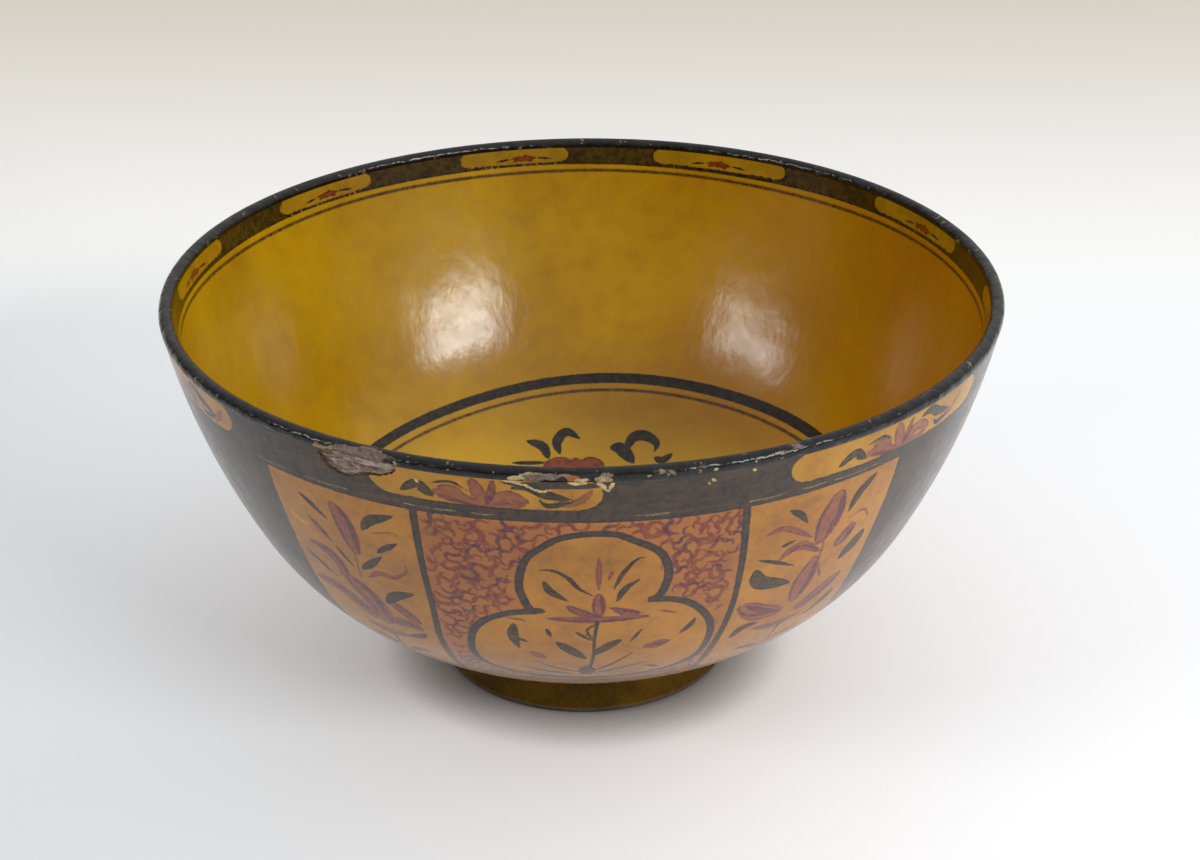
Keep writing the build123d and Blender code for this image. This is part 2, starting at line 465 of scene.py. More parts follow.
# Each stroke: pigment, shape of the brush mark, half width, places it runs through
trefoil_spray = (
    ("rose", "leaf", 0.75, ((1.85, 20.6), (1.85, 31.6))),
    ("rose", "leaf", 0.5, ((3.6, 25.2), (3.2, 28.0))),
    ("rose", "petal", 1.6, ((1.9, 33.4), (2.0, 40.8))),
    ("rose", "leaf", 1.35, ((-2.4, 37.2), (-0.8, 39.4), (1.6, 41.2))),
    ("rose", "leaf", 1.35, ((7.8, 40.6), (5.6, 39.8), (3.6, 38.0))),
    ("rose", "petal", 1.25, ((-5.0, 42.1), (1.8, 42.6), (8.9, 42.0))),
    ("leaf", "leaf", 0.6, ((1.0, 33.4), (-0.9, 30.6), (-2.1, 27.4), (-4.0, 24.9), (-6.1, 24.7))),
    ("leaf", "leaf", 1.05, ((-5.4, 28.4), (-4.6, 32.0), (-2.3, 35.4))),
    ("leaf", "leaf", 0.6, ((3.9, 31.2), (4.65, 27.4), (5.8, 23.5), (6.95, 21.4), (7.9, 21.2))),
    ("leaf", "leaf", 0.85, ((4.4, 35.7), (5.4, 31.4), (7.3, 28.2))),
    ("rose", "leaf", 0.5, ((10.6, 40.3), (13.2, 42.0))),
    ("rose", "leaf", 0.45, ((-11.4, 42.6), (-8.4, 43.4))),
    ("leaf", "round", 0.42, ((1.8, 43.5), (1.4, 50.0), (1.2, 60.0), (0.6, 66.0), (0.0, 70.0))),
    ("leaf", "round", 0.36, ((1.8, 44.0), (0.3, 46.5), (0.8, 50.0), (1.5, 52.0))),
    ("leaf", "leaf", 0.5, ((-1.5, 47.2), (0.7, 50.9))),
    ("leaf", "leaf", 0.45, ((8.4, 47.2), (6.7, 52.8))),
    ("leaf", "leaf", 1.3, ((-10.4, 44.8), (-10.9, 50.0), (-10.4, 55.6))),
    ("leaf", "leaf", 0.6, ((-10.2, 51.0), (-8.9, 52.2))),
    ("leaf", "leaf", 0.6, ((-5.7, 46.2), (-5.1, 49.8))),
    ("leaf", "leaf", 0.8, ((16.4, 45.4), (15.6, 48.4), (14.3, 51.2))),
    ("leaf", "leaf", 1.5, ((-4.4, 51.8), (-2.0, 56.2), (0.2, 60.4))),
    ("leaf", "leaf", 1.35, ((5.4, 51.0), (3.0, 54.6), (1.2, 58.4))),
    ("rose", "petal", 1.7, ((9.6, 55.4), (12.6, 53.6))),
    ("rose", "leaf", 1.2, ((-8.6, 57.0), (-6.4, 60.4))),
    ("leaf", "petal", 1.9, ((0.3, 65.4), (0.1, 70.6))),
    ("leaf", "leaf", 0.4, ((-0.6, 69.4), (-4.6, 66.4), (-8.4, 62.0))),
    ("leaf", "leaf", 0.4, ((0.9, 68.4), (4.4, 63.6), (7.6, 57.4))),
    ("leaf", "leaf", 0.5, ((1.6, 69.8), (6.4, 66.4), (9.6, 63.8))),
    ("leaf", "leaf", 0.6, ((-2.0, 70.4), (-7.0, 68.6), (-11.0, 66.0))),
    ("leaf", "leaf", 0.6, ((10.6, 66.4), (13.0, 68.4))),
)

left_flowers = (
    ("rose", "petal", 2.7, ((-33.8, 14.8), (-32.9, 19.4), (-32.5, 28.8))),
    ("leaf", "leaf", 1.35, ((-30.1, 20.3), (-28.2, 16.4), (-24.4, 13.3))),
    ("rust", "leaf", 0.35, ((-28.6, 20.5), (-25.4, 18.9), (-24.5, 19.6))),
    ("leaf", "leaf", 0.85, ((-28.7, 26.9), (-27.1, 24.6), (-24.9, 22.0))),
    ("leaf", "leaf", 1.05, ((-32.8, 34.9), (-30.5, 31.6), (-28.3, 28.1))),
    ("rose", "leaf", 0.8, ((-32.2, 37.6), (-29.8, 34.6), (-27.4, 34.7), (-25.2, 32.1))),
    ("rust", "leaf", 0.5, ((-27.0, 34.2), (-25.1, 31.8), (-24.6, 28.8))),
    ("leaf", "leaf", 1.5, ((-31.0, 46.3), (-28.4, 42.0), (-24.9, 39.3))),
    ("leaf", "leaf", 0.85, ((-39.5, 14.7), (-37.9, 16.9), (-35.7, 20.4))),
    ("plum", "leaf", 0.85, ((-39.5, 21.5), (-37.9, 24.5), (-36.5, 28.3))),
    ("leaf", "leaf", 0.6, ((-43.7, 35.5), (-41.8, 38.4), (-39.3, 42.4))),
    ("leaf", "leaf", 0.5, ((-36.2, 29.4), (-35.2, 32.2), (-34.2, 35.2))),
    ("rust", "round", 0.3, ((-32.9, 29.0), (-33.3, 34.2), (-33.8, 38.6))),
    ("rose", "petal", 1.8, ((-41.0, 31.2), (-38.3, 32.6), (-36.9, 36.5), (-37.1, 41.4))),
    ("rose", "petal", 3.4, ((-36.4, 40.4), (-34.6, 44.4), (-33.4, 50.0), (-33.6, 56.0))),
    ("rose", "petal", 2.4, ((-44.6, 46.4), (-40.6, 47.0), (-37.5, 51.0), (-35.8, 55.4))),
    ("rose", "petal", 1.8, ((-30.4, 45.0), (-28.5, 47.8), (-26.4, 51.8))),
    ("rose", "petal", 1.9, ((-31.6, 54.6), (-29.4, 53.4), (-26.6, 54.4))),
    ("rose", "leaf", 2.0, ((-39.0, 60.4), (-34.4, 61.4), (-30.0, 60.0))),
    ("leaf", "leaf", 1.0, ((-30.4, 60.4), (-27.6, 58.4), (-25.9, 56.0))),
    ("leaf", "round", 0.4, ((-34.4, 62.0), (-34.9, 68.0), (-34.6, 74.0))),
    ("leaf", "leaf", 1.2, ((-34.8, 70.4), (-38.4, 67.4), (-41.6, 66.6))),
    ("leaf", "leaf", 1.2, ((-34.6, 71.8), (-31.0, 69.0), (-28.4, 68.2))),
)

right_flowers = (
    ("rose", "petal", 3.5, ((34.4, 13.8), (34.1, 19.5), (33.6, 27.2))),
    ("leaf", "leaf", 0.9, ((26.8, 14.0), (28.6, 16.2), (30.2, 19.6))),
    ("rose", "leaf", 0.9, ((24.0, 20.3), (26.1, 19.2), (28.3, 20.9), (32.0, 25.3))),
    ("leaf", "leaf", 1.4, ((40.4, 11.4), (38.2, 15.4), (37.1, 20.9))),
    ("rose", "leaf", 1.4, ((27.2, 29.8), (28.8, 27.4), (30.8, 27.2), (34.3, 31.4))),
    ("rose", "petal", 2.1, ((39.2, 26.4), (37.4, 31.4))),
    ("leaf", "leaf", 2.0, ((42.3, 30.2), (41.4, 33.6), (39.4, 38.0))),
    ("rose", "leaf", 0.4, ((37.8, 23.0), (39.4, 22.2), (40.6, 22.4), (42.0, 25.6))),
    ("leaf", "leaf", 0.6, ((23.8, 28.1), (27.0, 30.6), (30.4, 33.7))),
    ("leaf", "leaf", 2.2, ((23.8, 31.6), (25.4, 36.6), (30.8, 40.0))),
    ("rose", "round", 0.32, ((34.5, 28.8), (35.0, 35.4), (36.8, 41.8))),
    ("rose", "petal", 2.9, ((34.0, 34.2), (33.6, 41.0), (33.4, 48.2))),
    ("rose", "petal", 3.1, ((23.9, 45.0), (27.0, 49.0), (31.2, 51.4))),
    ("leaf", "leaf", 0.6, ((27.0, 25.4), (29.0, 24.4))),
    ("rose", "petal", 2.4, ((41.4, 44.8), (38.6, 49.4), (35.6, 53.0))),
    ("rose", "leaf", 1.6, ((28.0, 56.6), (32.6, 58.0), (37.4, 56.8))),
    ("leaf", "leaf", 1.3, ((24.0, 58.4), (25.4, 54.6), (28.2, 53.8))),
    ("leaf", "leaf", 1.2, ((43.0, 52.0), (41.2, 56.2), (38.6, 59.4))),
    ("leaf", "round", 0.4, ((33.6, 58.8), (33.9, 66.0), (33.6, 73.0))),
    ("leaf", "leaf", 1.2, ((33.8, 70.0), (37.6, 66.6), (40.8, 65.8))),
    ("leaf", "leaf", 1.2, ((33.6, 71.4), (30.0, 68.2), (27.0, 67.4))),
)

# Strokes inside a cartouche, in degrees from its middle
cartouche_flowers = (
    ("rose", "petal", 1.5, ((-5.9, 3.8), (-3.8, 3.4), (-2.0, 4.9), (-0.2, 5.9))),
    ("rose", "petal", 1.0, ((-5.2, 2.2), (-3.4, 2.2), (-2.2, 3.8))),
    ("rose", "petal", 1.7, ((-1.0, -0.6), (-0.4, 2.6), (0.1, 5.8))),
    ("plum", "petal", 1.0, ((1.5, -0.8), (1.2, 2.2), (0.6, 5.4))),
    ("rose", "petal", 1.5, ((5.4, 4.2), (3.2, 2.8), (1.4, 4.4), (0.2, 6.0))),
    ("rose", "petal", 1.0, ((5.0, 5.2), (2.8, 5.8), (0.4, 6.2))),
    ("plum", "leaf", 0.6, ((-5.4, 4.8), (-3.2, 5.6), (-0.6, 6.2))),
    ("leaf", "leaf", 1.15, ((-10.4, 4.7), (-8.0, 2.2), (-6.0, 4.5))),
    ("leaf", "leaf", 0.55, ((-8.0, 3.8), (-6.0, 5.2))),
    ("leaf", "leaf", 0.4, ((-6.0, 1.2), (-3.6, 0.4), (-1.7, 2.4))),
    ("leaf", "leaf", 1.3, ((3.7, 0.7), (5.6, 0.1), (7.8, 2.1), (10.8, 3.4))),
    ("leaf", "leaf", 0.75, ((6.9, 3.7), (8.1, 5.2), (10.9, 4.0))),
    ("rust", "petal", 0.9, ((9.6, 5.2), (11.7, 3.8), (13.2, 1.0))),
)

# Chalk and paint torn down under the front loss, with a dark stroke painted as the shadow under the frays, and small
# chips beside the left one
front_frays_and_painted_shadow = (
    # A dark stroke painted as the shadow under the frays.
    ("dark", 1.0, ((-9.8, -0.9), (-7.0, -0.4), (-3.0, -0.6), (0.6, -0.4), (4.4, -0.9))),
    ("chalk", 0.34, ((-9.6, -1.2), (-8.2, -1.0), (-6.8, -0.2), (-5.4, 1.0))),
    ("chalk", 0.3, ((-5.6, 0.9), (-4.8, 1.3), (-3.9, 0.8))),
    ("chalk", 0.3, ((-7.6, -1.3), (-7.2, -0.6))),
    ("chalk", 0.36, ((-1.9, -1.3), (-0.6, -0.9), (0.5, -1.3))),
    ("chalk", 0.5, ((1.5, -1.3), (2.3, -0.1), (2.7, 1.0))),
    ("chalk", 0.45, ((3.6, -1.2), (3.1, 0.2), (2.9, 1.2))),
    ("chalk", 0.4, ((-20.4, 1.2), (-20.0, 1.9))),
    ("chalk", 0.35, ((15.3, 0.2), (15.7, 0.8))),
    ("chalk", 0.35, ((14.9, 1.2), (15.1, 1.6))),
    ("chalk", 0.3, ((20.4, -0.6), (20.8, -0.2))),
    ("chalk", 0.3, ((-43.0, 22.4), (-41.6, 24.6), (-40.2, 25.2))),
    ("rust", 0.7, ((-33.0, 3.2), (-30.6, 4.4), (-27.6, 5.2))),
)

hairline_runs = (
    (-46.0, -40.5),
    (-37.0, -30.5),
    (-22.4, -15.8),
    (-13.6, -11.0),
    (6.2, 10.4),
    (20.6, 25.6),
    (27.8, 31.4),
    (32.8, 40.2),
    (58.0, 66.0),
    (88.0, 95.0),
    (112.0, 118.0),
    (139.0, 150.0),
    (171.0, 178.0),
    (-160.0, -149.0),
    (-122.0, -116.0),
    (-96.0, -86.0),
    (-72.0, -66.0),
)

panel_foot = 77.5
group_half = 44.5
inner_line = 20.9


def paint_group(work, centre, lean):
    """One trefoil on its scroll ground, with a flower panel either side."""
    loose = 0.0 if centre == 0 else 0.35

    def moved(points):
        return [(bearing + centre, below) for bearing, below in points]

    for points in (trefoil_top, trefoil_left, trefoil_right):
        work.stroke("dark", "line", 1.05, moved(points), loose=loose / 2)
    for pigment, shape, half, points in trefoil_spray + left_flowers + right_flowers:
        work.stroke(pigment, shape, half, moved(points), loose=loose)
        if pigment == "rose" and half > 1.2:
            shade_petal(work, half, moved(points))
    left = ((-21.4, 9.0), (-21.9, 25.0), (-22.5, 42.0), (-23.7, 58.0), (-24.4, panel_foot))
    right = ((20.3, 9.0), (21.3, 28.0), (21.8, 45.0), (21.3, 60.0), (21.0, panel_foot))
    for points in (left, right):
        work.stroke("dark", "line", 0.95, moved(points))
    paint_scrolls(work, centre)


def trefoil_outline():
    """The trefoil's closed outline."""
    return np.vstack((trefoil_top, trefoil_right, np.asarray(trefoil_left)[::-1]))


def paint_scrolls(work, centre):
    """The ground of curls round the trefoil, each a short spiral with a tail."""
    middle = 40.0
    scale = float(np.radians(ring_at(middle, work.depth)[0]))
    trefoil = trefoil_outline() * (scale, 1)
    frame_left = (-21.4, -24.2)
    panel = ((-21.6, 10.2), (20.4, 10.2), (21.4, 44.0), (21.0, panel_foot), (-24.2, panel_foot), (-22.4, 44.0))
    work.area("wash", [(bearing + centre, below) for bearing, below in panel], middle=centre)
    shape = trefoil_outline() + (centre, 0)
    work.area("wash", shape, add=False, middle=centre)
    spacing = 3.0
    rows = int((panel_foot - 12) / (spacing * 0.87))
    for row in range(rows + 1):
        below = 11.6 + row * spacing * 0.87
        shift = 0.5 * (row % 2)
        for column in range(-14, 15):
            across = (column + shift) * spacing + work.hand.normal(0, 0.4)
            down = below + work.hand.normal(0, 0.4)
            stretch = float(np.radians(ring_at(down, work.depth)[0]))
            bearing = across / stretch
            edge = frame_left[0] + (frame_left[1] - frame_left[0]) * (down - 9) / 68
            if bearing < edge + 1.5 or bearing > 21.2 - 1.3 or down > panel_foot - 1:
                continue
            here = np.array(((bearing * scale, down),))
            if polygon_distance(here, trefoil)[0] > -1.7:
                continue
            paint_curl(work, centre + bearing, down, stretch)


def shade_petal(work, half, points):
    """Darker strokes down one side of a petal and a thin one along the other."""
    scale = float(np.radians(ring_at(points[0][1], work.depth)[0]))
    for side, share, pigment in ((0.62, 0.3, "plum"), (-0.86, 0.13, "plum")):
        shift = side * half / scale
        beside = [(bearing + shift * (0.5 + index % 2 * 0.5), below) for index, (bearing, below) in enumerate(points)]
        work.stroke(pigment, "leaf", share * half, beside, loose=0.15)


def paint_curl(work, bearing, below, stretch):
    """One loose stroke of the scroll ground: a hook that swings back the other way."""
    hand = work.hand
    side = hand.choice((-1, 1))
    way = hand.uniform(0, 2 * np.pi)
    spots = [np.zeros(2)]
    for share in (1, -1):
        size = hand.uniform(0.8, 1.9)
        sweep = hand.uniform(1.9, 4.3) if share > 0 else hand.uniform(0.8, 2.8)
        steps = max(3, int(sweep / 0.6))
        for _ in range(steps):
            way += side * share * sweep / steps
            stride = size * sweep / steps
            spots.append(spots[-1] + stride * np.array((np.cos(way), np.sin(way))))
    path = np.array(spots)
    path -= path.mean(0)
    points = np.stack((bearing + path[:, 0] / stretch, below + path[:, 1]), -1)
    pigment = "plum" if hand.uniform() < 0.25 else "maroon"
    work.stroke(pigment, "leaf", hand.uniform(0.36, 0.66), points, beside=0.4)


def paint_outside():
    """Everything painted on the outer face, in the order it was laid."""
    work = Painting(0.0, 11, painting_start)
    work.band("dark", -9.0, 9.9, wander=0.35, phase=2.2)
    for middle, half_angle, drop in outer_cartouches:
        outline = rounded_bar(middle, half_angle, 2.0 + 0.2 * drop, 4.3, 0.0, 1.25)
        work.area("dark", outline, add=False, middle=middle)
        work.area("cartouche", outline, middle=middle)
        for pigment, shape, half, points in cartouche_flowers:
            spot = [(bearing + middle, below + 0.2 * drop) for bearing, below in points]
            work.stroke(pigment, shape, half, spot, loose=0.25 * abs(drop))
    for side in (60.0, 180.0, -60.0):
        gap = (
            (-15.6, 9.4),
            (15.6, 9.4),
            (15.1, 30.0),
            (14.0, 48.0),
            (13.4, 62.0),
            (13.2, panel_foot),
            (-13.2, panel_foot),
            (-13.4, 62.0),
            (-14.6, 48.0),
            (-15.4, 30.0),
        )
        work.area("dark", [(bearing + side, below) for bearing, below in gap], middle=side)
    for centre in (0.0, 120.0, -120.0):
        paint_group(work, centre, 0.0)
    work.band("dark", panel_foot - 0.7, panel_foot + 0.9, wander=0.3, phase=0.7)
    for pigment, half, points in front_frays_and_painted_shadow:
        work.stroke(pigment, "leaf", half, points, beside=0.3)
    for start, end in hairline_runs:
        middle = (start + end) / 2
        level = 8.5 + work.hand.normal(0, 0.12)
        points = ((start, level), (middle, level + 0.15), (end, level - 0.1))
        work.stroke("pale", "leaf", 0.16, points, beside=0.3)
    return work


# ---- The painted inside: ten small cartouches, lines under them and a flower in the middle

inner_cartouches = (
    (-169.0, 9.0, -1.5),
    (-134.8, 9.3, -0.7),
    (-99.8, 10.0, 0.8),
    (-63.5, 9.5, 0.0),
    (-27.5, 9.5, 0.0),
    (8.5, 9.5, 0.0),
    (44.5, 9.5, 0.0),
    (80.0, 9.5, 0.0),
    (116.0, 11.0, -1.0),
    (156.5, 11.5, 0.5),
)

floor_ring_middle = (2.9, 7.6)
floor_ring_radius = 73.9

# The flower in the middle of the floor. Only its far part is in view in the photograph
floor_spray = (
    ("rose", "petal", 3.0, ((-10.2, 53.0), (-5.0, 55.2))),
    ("rose", "petal", 3.0, ((-3.0, 47.0), (-2.2, 56.0))),
    ("rose", "petal", 2.6, ((4.8, 53.6), (0.4, 55.6))),
    ("rose", "petal", 3.6, ((-13.0, 44.0), (-6.0, 48.0))),
    ("rose", "petal", 3.6, ((8.0, 44.0), (1.0, 48.0))),
    ("rose", "petal", 3.4, ((-8.4, 38.0), (-3.4, 44.0))),
    ("rose", "petal", 3.4, ((4.6, 37.6), (-0.6, 44.0))),
    ("leaf", "leaf", 1.5, ((-10.2, 56.6), (-12.0, 60.4), (-16.8, 61.6))),
    ("leaf", "leaf", 1.5, ((-6.8, 58.2), (-7.8, 62.0), (-5.0, 65.4), (-0.8, 63.2))),
    ("leaf", "leaf", 2.0, ((8.0, 60.2), (11.0, 59.4), (14.6, 54.2))),
    ("leaf", "leaf", 1.7, ((12.2, 58.6), (14.8, 62.6), (18.4, 62.6), (21.6, 59.6), (20.6, 57.2))),
    ("leaf", "leaf", 1.2, ((20.6, 55.2), (22.8, 53.8), (26.0, 55.4))),
    ("leaf", "leaf", 0.7, ((-20.6, 53.8), (-15.0, 54.6), (-9.8, 55.2))),
    ("leaf", "round", 0.8, ((-1.6, 42.0), (1.4, 28.0), (0.4, 12.0), (3.4, -6.0), (2.0, -30.0))),
    ("leaf", "leaf", 2.6, ((0.8, 26.0), (-8.0, 24.0), (-17.0, 28.0), (-22.0, 35.0))),
    ("leaf", "leaf", 2.6, ((1.2, 22.0), (9.0, 24.0), (17.6, 28.6), (24.0, 36.4))),
    ("leaf", "leaf", 2.2, ((0.6, 14.0), (10.0, 12.0), (20.0, 15.0), (27.6, 21.0))),
    ("leaf", "leaf", 2.2, ((1.0, 8.0), (-9.0, 8.0), (-18.6, 12.0), (-26.0, 18.0))),
    ("leaf", "leaf", 2.4, ((3.0, -4.0), (12.0, -8.0), (23.0, -7.0), (31.0, -2.0))),
    ("leaf", "leaf", 2.4, ((3.2, -9.0), (-6.4, -12.0), (-18.0, -11.0), (-27.0, -5.0))),
    ("leaf", "leaf", 2.0, ((2.6, -18.0), (11.0, -24.0), (19.0, -25.0))),
    ("leaf", "leaf", 2.0, ((2.4, -22.0), (-6.0, -28.0), (-15.0, -29.0))),
    ("rose", "petal", 2.4, ((-26.0, 38.0), (-21.0, 40.4))),
    ("rose", "petal", 2.4, ((-24.4, 43.4), (-22.0, 38.2))),
    ("rose", "petal", 2.4, ((27.6, 39.4), (23.0, 41.0))),
    ("rose", "petal", 2.4, ((29.0, 44.6), (25.4, 38.8))),
    ("rose", "petal", 2.2, ((31.6, 23.0), (27.4, 25.4))),
    ("rose", "petal", 2.2, ((-30.4, 20.0), (-26.0, 22.6))),
    ("rose", "petal", 2.4, ((36.0, -1.0), (31.2, 2.2))),
    ("rose", "petal", 2.4, ((-32.0, -4.0), (-27.0, -0.6))),
    ("leaf", "leaf", 1.4, ((-1.0, -31.0), (-5.0, -37.0), (-11.0, -39.4))),
    ("leaf", "leaf", 1.4, ((4.6, -31.0), (8.6, -37.0), (14.4, -39.0))),
    ("rose", "petal", 2.6, ((-2.0, -34.0), (1.6, -40.0))),
    ("rose", "petal", 2.6, ((6.0, -34.4), (2.6, -40.4))),
)


def paint_inside():
    """Everything painted on the inner face."""
    work = Painting(wall_thickness, 23, painting_start)
    work.band("dark", -9.0, 3.5, wander=0.25, phase=0.4)
    for middle, half_angle, shift in inner_cartouches:
        outline = rounded_bar(middle, half_angle, 0.3, 2.3, wall_thickness, 1.6)
        work.area("dark", outline, add=False, middle=middle)
        work.area("cartouche", outline, middle=middle)
        bloom = middle + shift
        for half, points in (
            (0.75, ((bloom - 2.1, 1.2), (bloom + 2.0, 1.0))),
            (0.65, ((bloom - 0.6, 0.2), (bloom + 0.3, 2.0))),
            (0.5, ((bloom - 1.5, 2.0), (bloom - 0.2, 1.0))),
            (0.5, ((bloom + 1.6, 1.9), (bloom + 0.4, 1.0))),
        ):
            work.stroke("rose", "leaf", half, points, beside=0.35)
        work.stroke("leaf", "leaf", 0.3, ((bloom - 4.6, 1.5), (bloom - 2.4, 1.1)), beside=0.3)
        work.stroke("leaf", "leaf", 0.3, ((bloom + 2.4, 1.2), (bloom + 4.4, 1.6)), beside=0.3)
    work.band("line", 4.8, 5.7, wander=0.3, phase=1.0)
    turn = np.linspace(0, 2 * np.pi, 121)
    for pigment, radius, half in (("leaf", floor_ring_radius, 1.6), ("line", 70.4, 0.5)):
        ring = np.stack((np.cos(turn), np.sin(turn)), -1)
        drift = 1 + 0.006 * np.sin(2 * turn + 0.5) + 0.004 * np.sin(5 * turn)
        points = floor_ring_middle + ring * (radius * drift)[:, None]
        work.stroke(pigment, "line", half, points, floor=True)
    for pigment, shape, half, points in floor_spray:
        work.stroke(pigment, shape, half, points, floor=True)
    return work


# ---- Cutting a film to carry its painting


def thinned(flat, spacing):
    """Leaves one point in each small square, so that crowded strokes share points."""
    cell = np.round(flat / spacing).astype(np.int64)
    keep = np.unique(cell, axis=0, return_index=True)[1]
    return flat[np.sort(keep)]


def loss_in_layout(grow):
    """The left loss's outline laid out flat on the outer face, slightly ragged. The lacquer
    broke further back than the chalk under it, by its own amount at each corner."""
    bearing, height, half_width, half_height = left_loss
    outline = np.asarray(loss_outline)
    outline = outline * (np.array(((half_width, half_height),)) + np.array(grow)[:, None])
    closed = smooth_line(np.vstack((outline, outline[:1])), 0.5)[:-1]
    hand = np.random.default_rng(5)
    closed = closed + hand.normal(0, 0.13, closed.shape)
    below = (edge_height - (height + closed[:, 1])) / math.sin(edge_turn)
    degrees = bearing + np.degrees(closed[:, 0] / edge_radius)
    return opened(degrees, np.maximum(below, -4), 0.0)


def cut_sheet(flat, edges, keep):
    """Triangles over flat points, with given edges kept, less those that keep turns down."""
    points = [Vector(spot) for spot in flat.tolist()]
    spots, _, faces, _, _, _ = delaunay_2d_cdt(points, edges, [], 0, 1e-5, False)
    spots = np.array([tuple(spot) for spot in spots])
    faces = np.array([face for face in faces if len(face) == 3])
    faces = faces[keep(spots[faces].mean(1))]
    used, faces = np.unique(faces, return_inverse=True)
    return spots[used], faces.reshape(-1, 3)


def circle_points(below, depth, count):
    """Places round a ring, laid out flat."""
    return opened(np.arange(count) * 360 / count, np.full(count, float(below)), depth)


def chained(start, count, closed=True):
    """Edges joining points in a row."""
    pairs = [(start + i, start + i + 1) for i in range(count - 1)]
    if closed:
        pairs.append((start + count - 1, start))
    return pairs


def painted_film(name, work, outer, foot_below, loss=None):
    """A closed film over one face, its mesh dense only where the brush marks are."""
    depth = work.depth
    run = whole_run(depth)
    rim = circle_points(0, depth, 540)
    borders = [rim]
    if foot_below:
        borders.append(circle_points(foot_below, depth, 240))
    if loss is not None:
        borders.append(loss)
    edges = []
    count = 0
    for border in borders:
        edges += chained(count, len(border))
        count += len(border)

    def keep(centres):
        out = np.hypot(centres[:, 0], centres[:, 1])
        inside = out < run
        if foot_below:
            inside &= out > run - foot_below
        if loss is not None:
            near = np.flatnonzero(np.hypot(*(centres - loss.mean(0)).T) < 25)
            inside[near] &= polygon_distance(centres[near], loss) < 0
        return inside

    grid = []
    last = foot_below or run - 1
    for below in np.arange(2.2, last - 0.8, 2.2):
        steps = max(12, int(2 * np.pi * (run - below) / 3.2))
        phase = (steps % 2) * 180 / steps
        angle = np.arange(steps) * 360 / steps + phase
        grid.append(opened(angle, np.full(steps, below), depth))
    if not foot_below:
        grid.append(np.zeros((1, 2)))
    marks = thinned(np.vstack(work.knots), 0.34)
    out = np.hypot(marks[:, 0], marks[:, 1])
    marks = marks[(out < run - 0.2) & (out > run - last + 0.2)]
    front, front_faces = cut_sheet(np.vstack(borders + [thinned(np.vstack(grid + [marks]), 0.3)]), edges, keep)

    # The border of the front sheet is shared with the back sheet and the walls between
    sides = np.vstack((front_faces[:, (0, 1)], front_faces[:, (1, 2)], front_faces[:, (2, 0)]))
    known = {(a, b) for a, b in sides.tolist()}
    open_sides = [(a, b) for a, b in known if (b, a) not in known]
    lip = sorted({a for a, _ in open_sides})
    place_of = {old: new for new, old in enumerate(lip)}
    lip_edges = [(place_of[a], place_of[b]) for a, b in open_sides]
    coarse = np.vstack(grid)
    gap = np.abs(coarse[:, None] - front[lip][None]).sum(2).min(1)
    coarse = coarse[gap > 1.2][::3]
    back, back_faces = cut_sheet(np.vstack((front[lip], coarse)), lip_edges, keep)
    match = {tuple(np.round(spot, 4)): index for index, spot in enumerate(back)}
    partner = {old: match[tuple(np.round(front[old], 4))] for old in lip}

    bearing, below = folded(front, depth)
    back_bearing, back_below = folded(back, depth)
    sunk = -outer_lacquer_thickness if outer else outer_lacquer_thickness
    points = np.vstack((places(bearing, below, depth), places(back_bearing, back_below, depth, sunk)))
    shift = len(front)
    if outer:
        front_faces = front_faces[:, ::-1]
        walls = [(a, b, partner[b] + shift, partner[a] + shift) for a, b in open_sides]
        faces = front_faces.tolist() + (back_faces + shift).tolist() + walls
    else:
        walls = [(b, a, partner[a] + shift, partner[b] + shift) for a, b in open_sides]
        faces = front_faces.tolist() + (back_faces[:, ::-1] + shift).tolist() + walls
    mesh = bpy.data.meshes.new(name)
    mesh.from_pydata((points * metre).tolist(), [], faces)
    mesh.validate()
    mesh.shade_smooth()
    facing_out = outward(bearing, below, depth) * (1 if outer else -1)
    facing_back = outward(back_bearing, back_below, depth) * (-1 if outer else 1)
    normals = np.vstack((facing_out, facing_back))
    corners = np.empty(len(mesh.loops), dtype=np.int64)
    mesh.loops.foreach_get("vertex_index", corners)
    loop_normals = normals[corners]
    for polygon in list(mesh.polygons)[len(front_faces) + len(back_faces):]:
        for loop in polygon.loop_indices:
            loop_normals[loop] = polygon.normal
    mesh.normals_split_custom_set(loop_normals.tolist())
    for pigment in work.marks:
        layer = mesh.attributes.new(pigment, "FLOAT", "POINT")
        value = np.full(len(points), -1.0)
        value[:shift] = work.field(pigment, bearing, below)
        for old, new in partner.items():
            value[shift + new] = value[old]
        layer.data.foreach_set("value", value.astype(np.float32))
    piece = bpy.data.objects.new(name, mesh)
    bpy.context.collection.objects.link(piece)
    print(name, len(mesh.polygons), "faces")
    return piece


# ---- Small forms


def mesh_piece(name, bm):
    """A finished piece from its bmesh, in metres."""
    mesh = bpy.data.meshes.new(name)
    bmesh.ops.scale(bm, vec=(metre,) * 3, verts=bm.verts)
    bm.to_mesh(mesh)
    bm.free()
    piece = bpy.data.objects.new(name, mesh)
    bpy.context.collection.objects.link(piece)
    return piece


def ragged(angle, seed, size):
    """A slow uneven wander round the bowl."""
    hand = np.random.default_rng(seed)
    value = np.zeros_like(angle)
    for wave in (3, 5, 8, 13, 21, 34, 55, 89):
        value += np.sin(wave * angle + hand.uniform(0, 6.3)) * hand.uniform(0.4, 1) / wave**0.4
    return size * value / 3


def loss_distance(bearing, height, loss, grow=0.0):
    """How far places on the rim lie inside a loss's outline."""
    middle, level, half_width, half_height = loss
    outline = np.asarray(loss_outline) * (half_width + grow, half_height + grow)
    closed = smooth_line(np.vstack((outline, outline[:1])), 0.8)[:-1]
    across = np.radians(turned(bearing, middle)) * rim_radius
    spots = np.stack((across, height - level), -1)
    near = np.abs(across) < half_width + 6
    value = np.full(len(bearing), -3.0)
    if near.any():
        value[near] = polygon_distance(spots[near], closed)
    return value


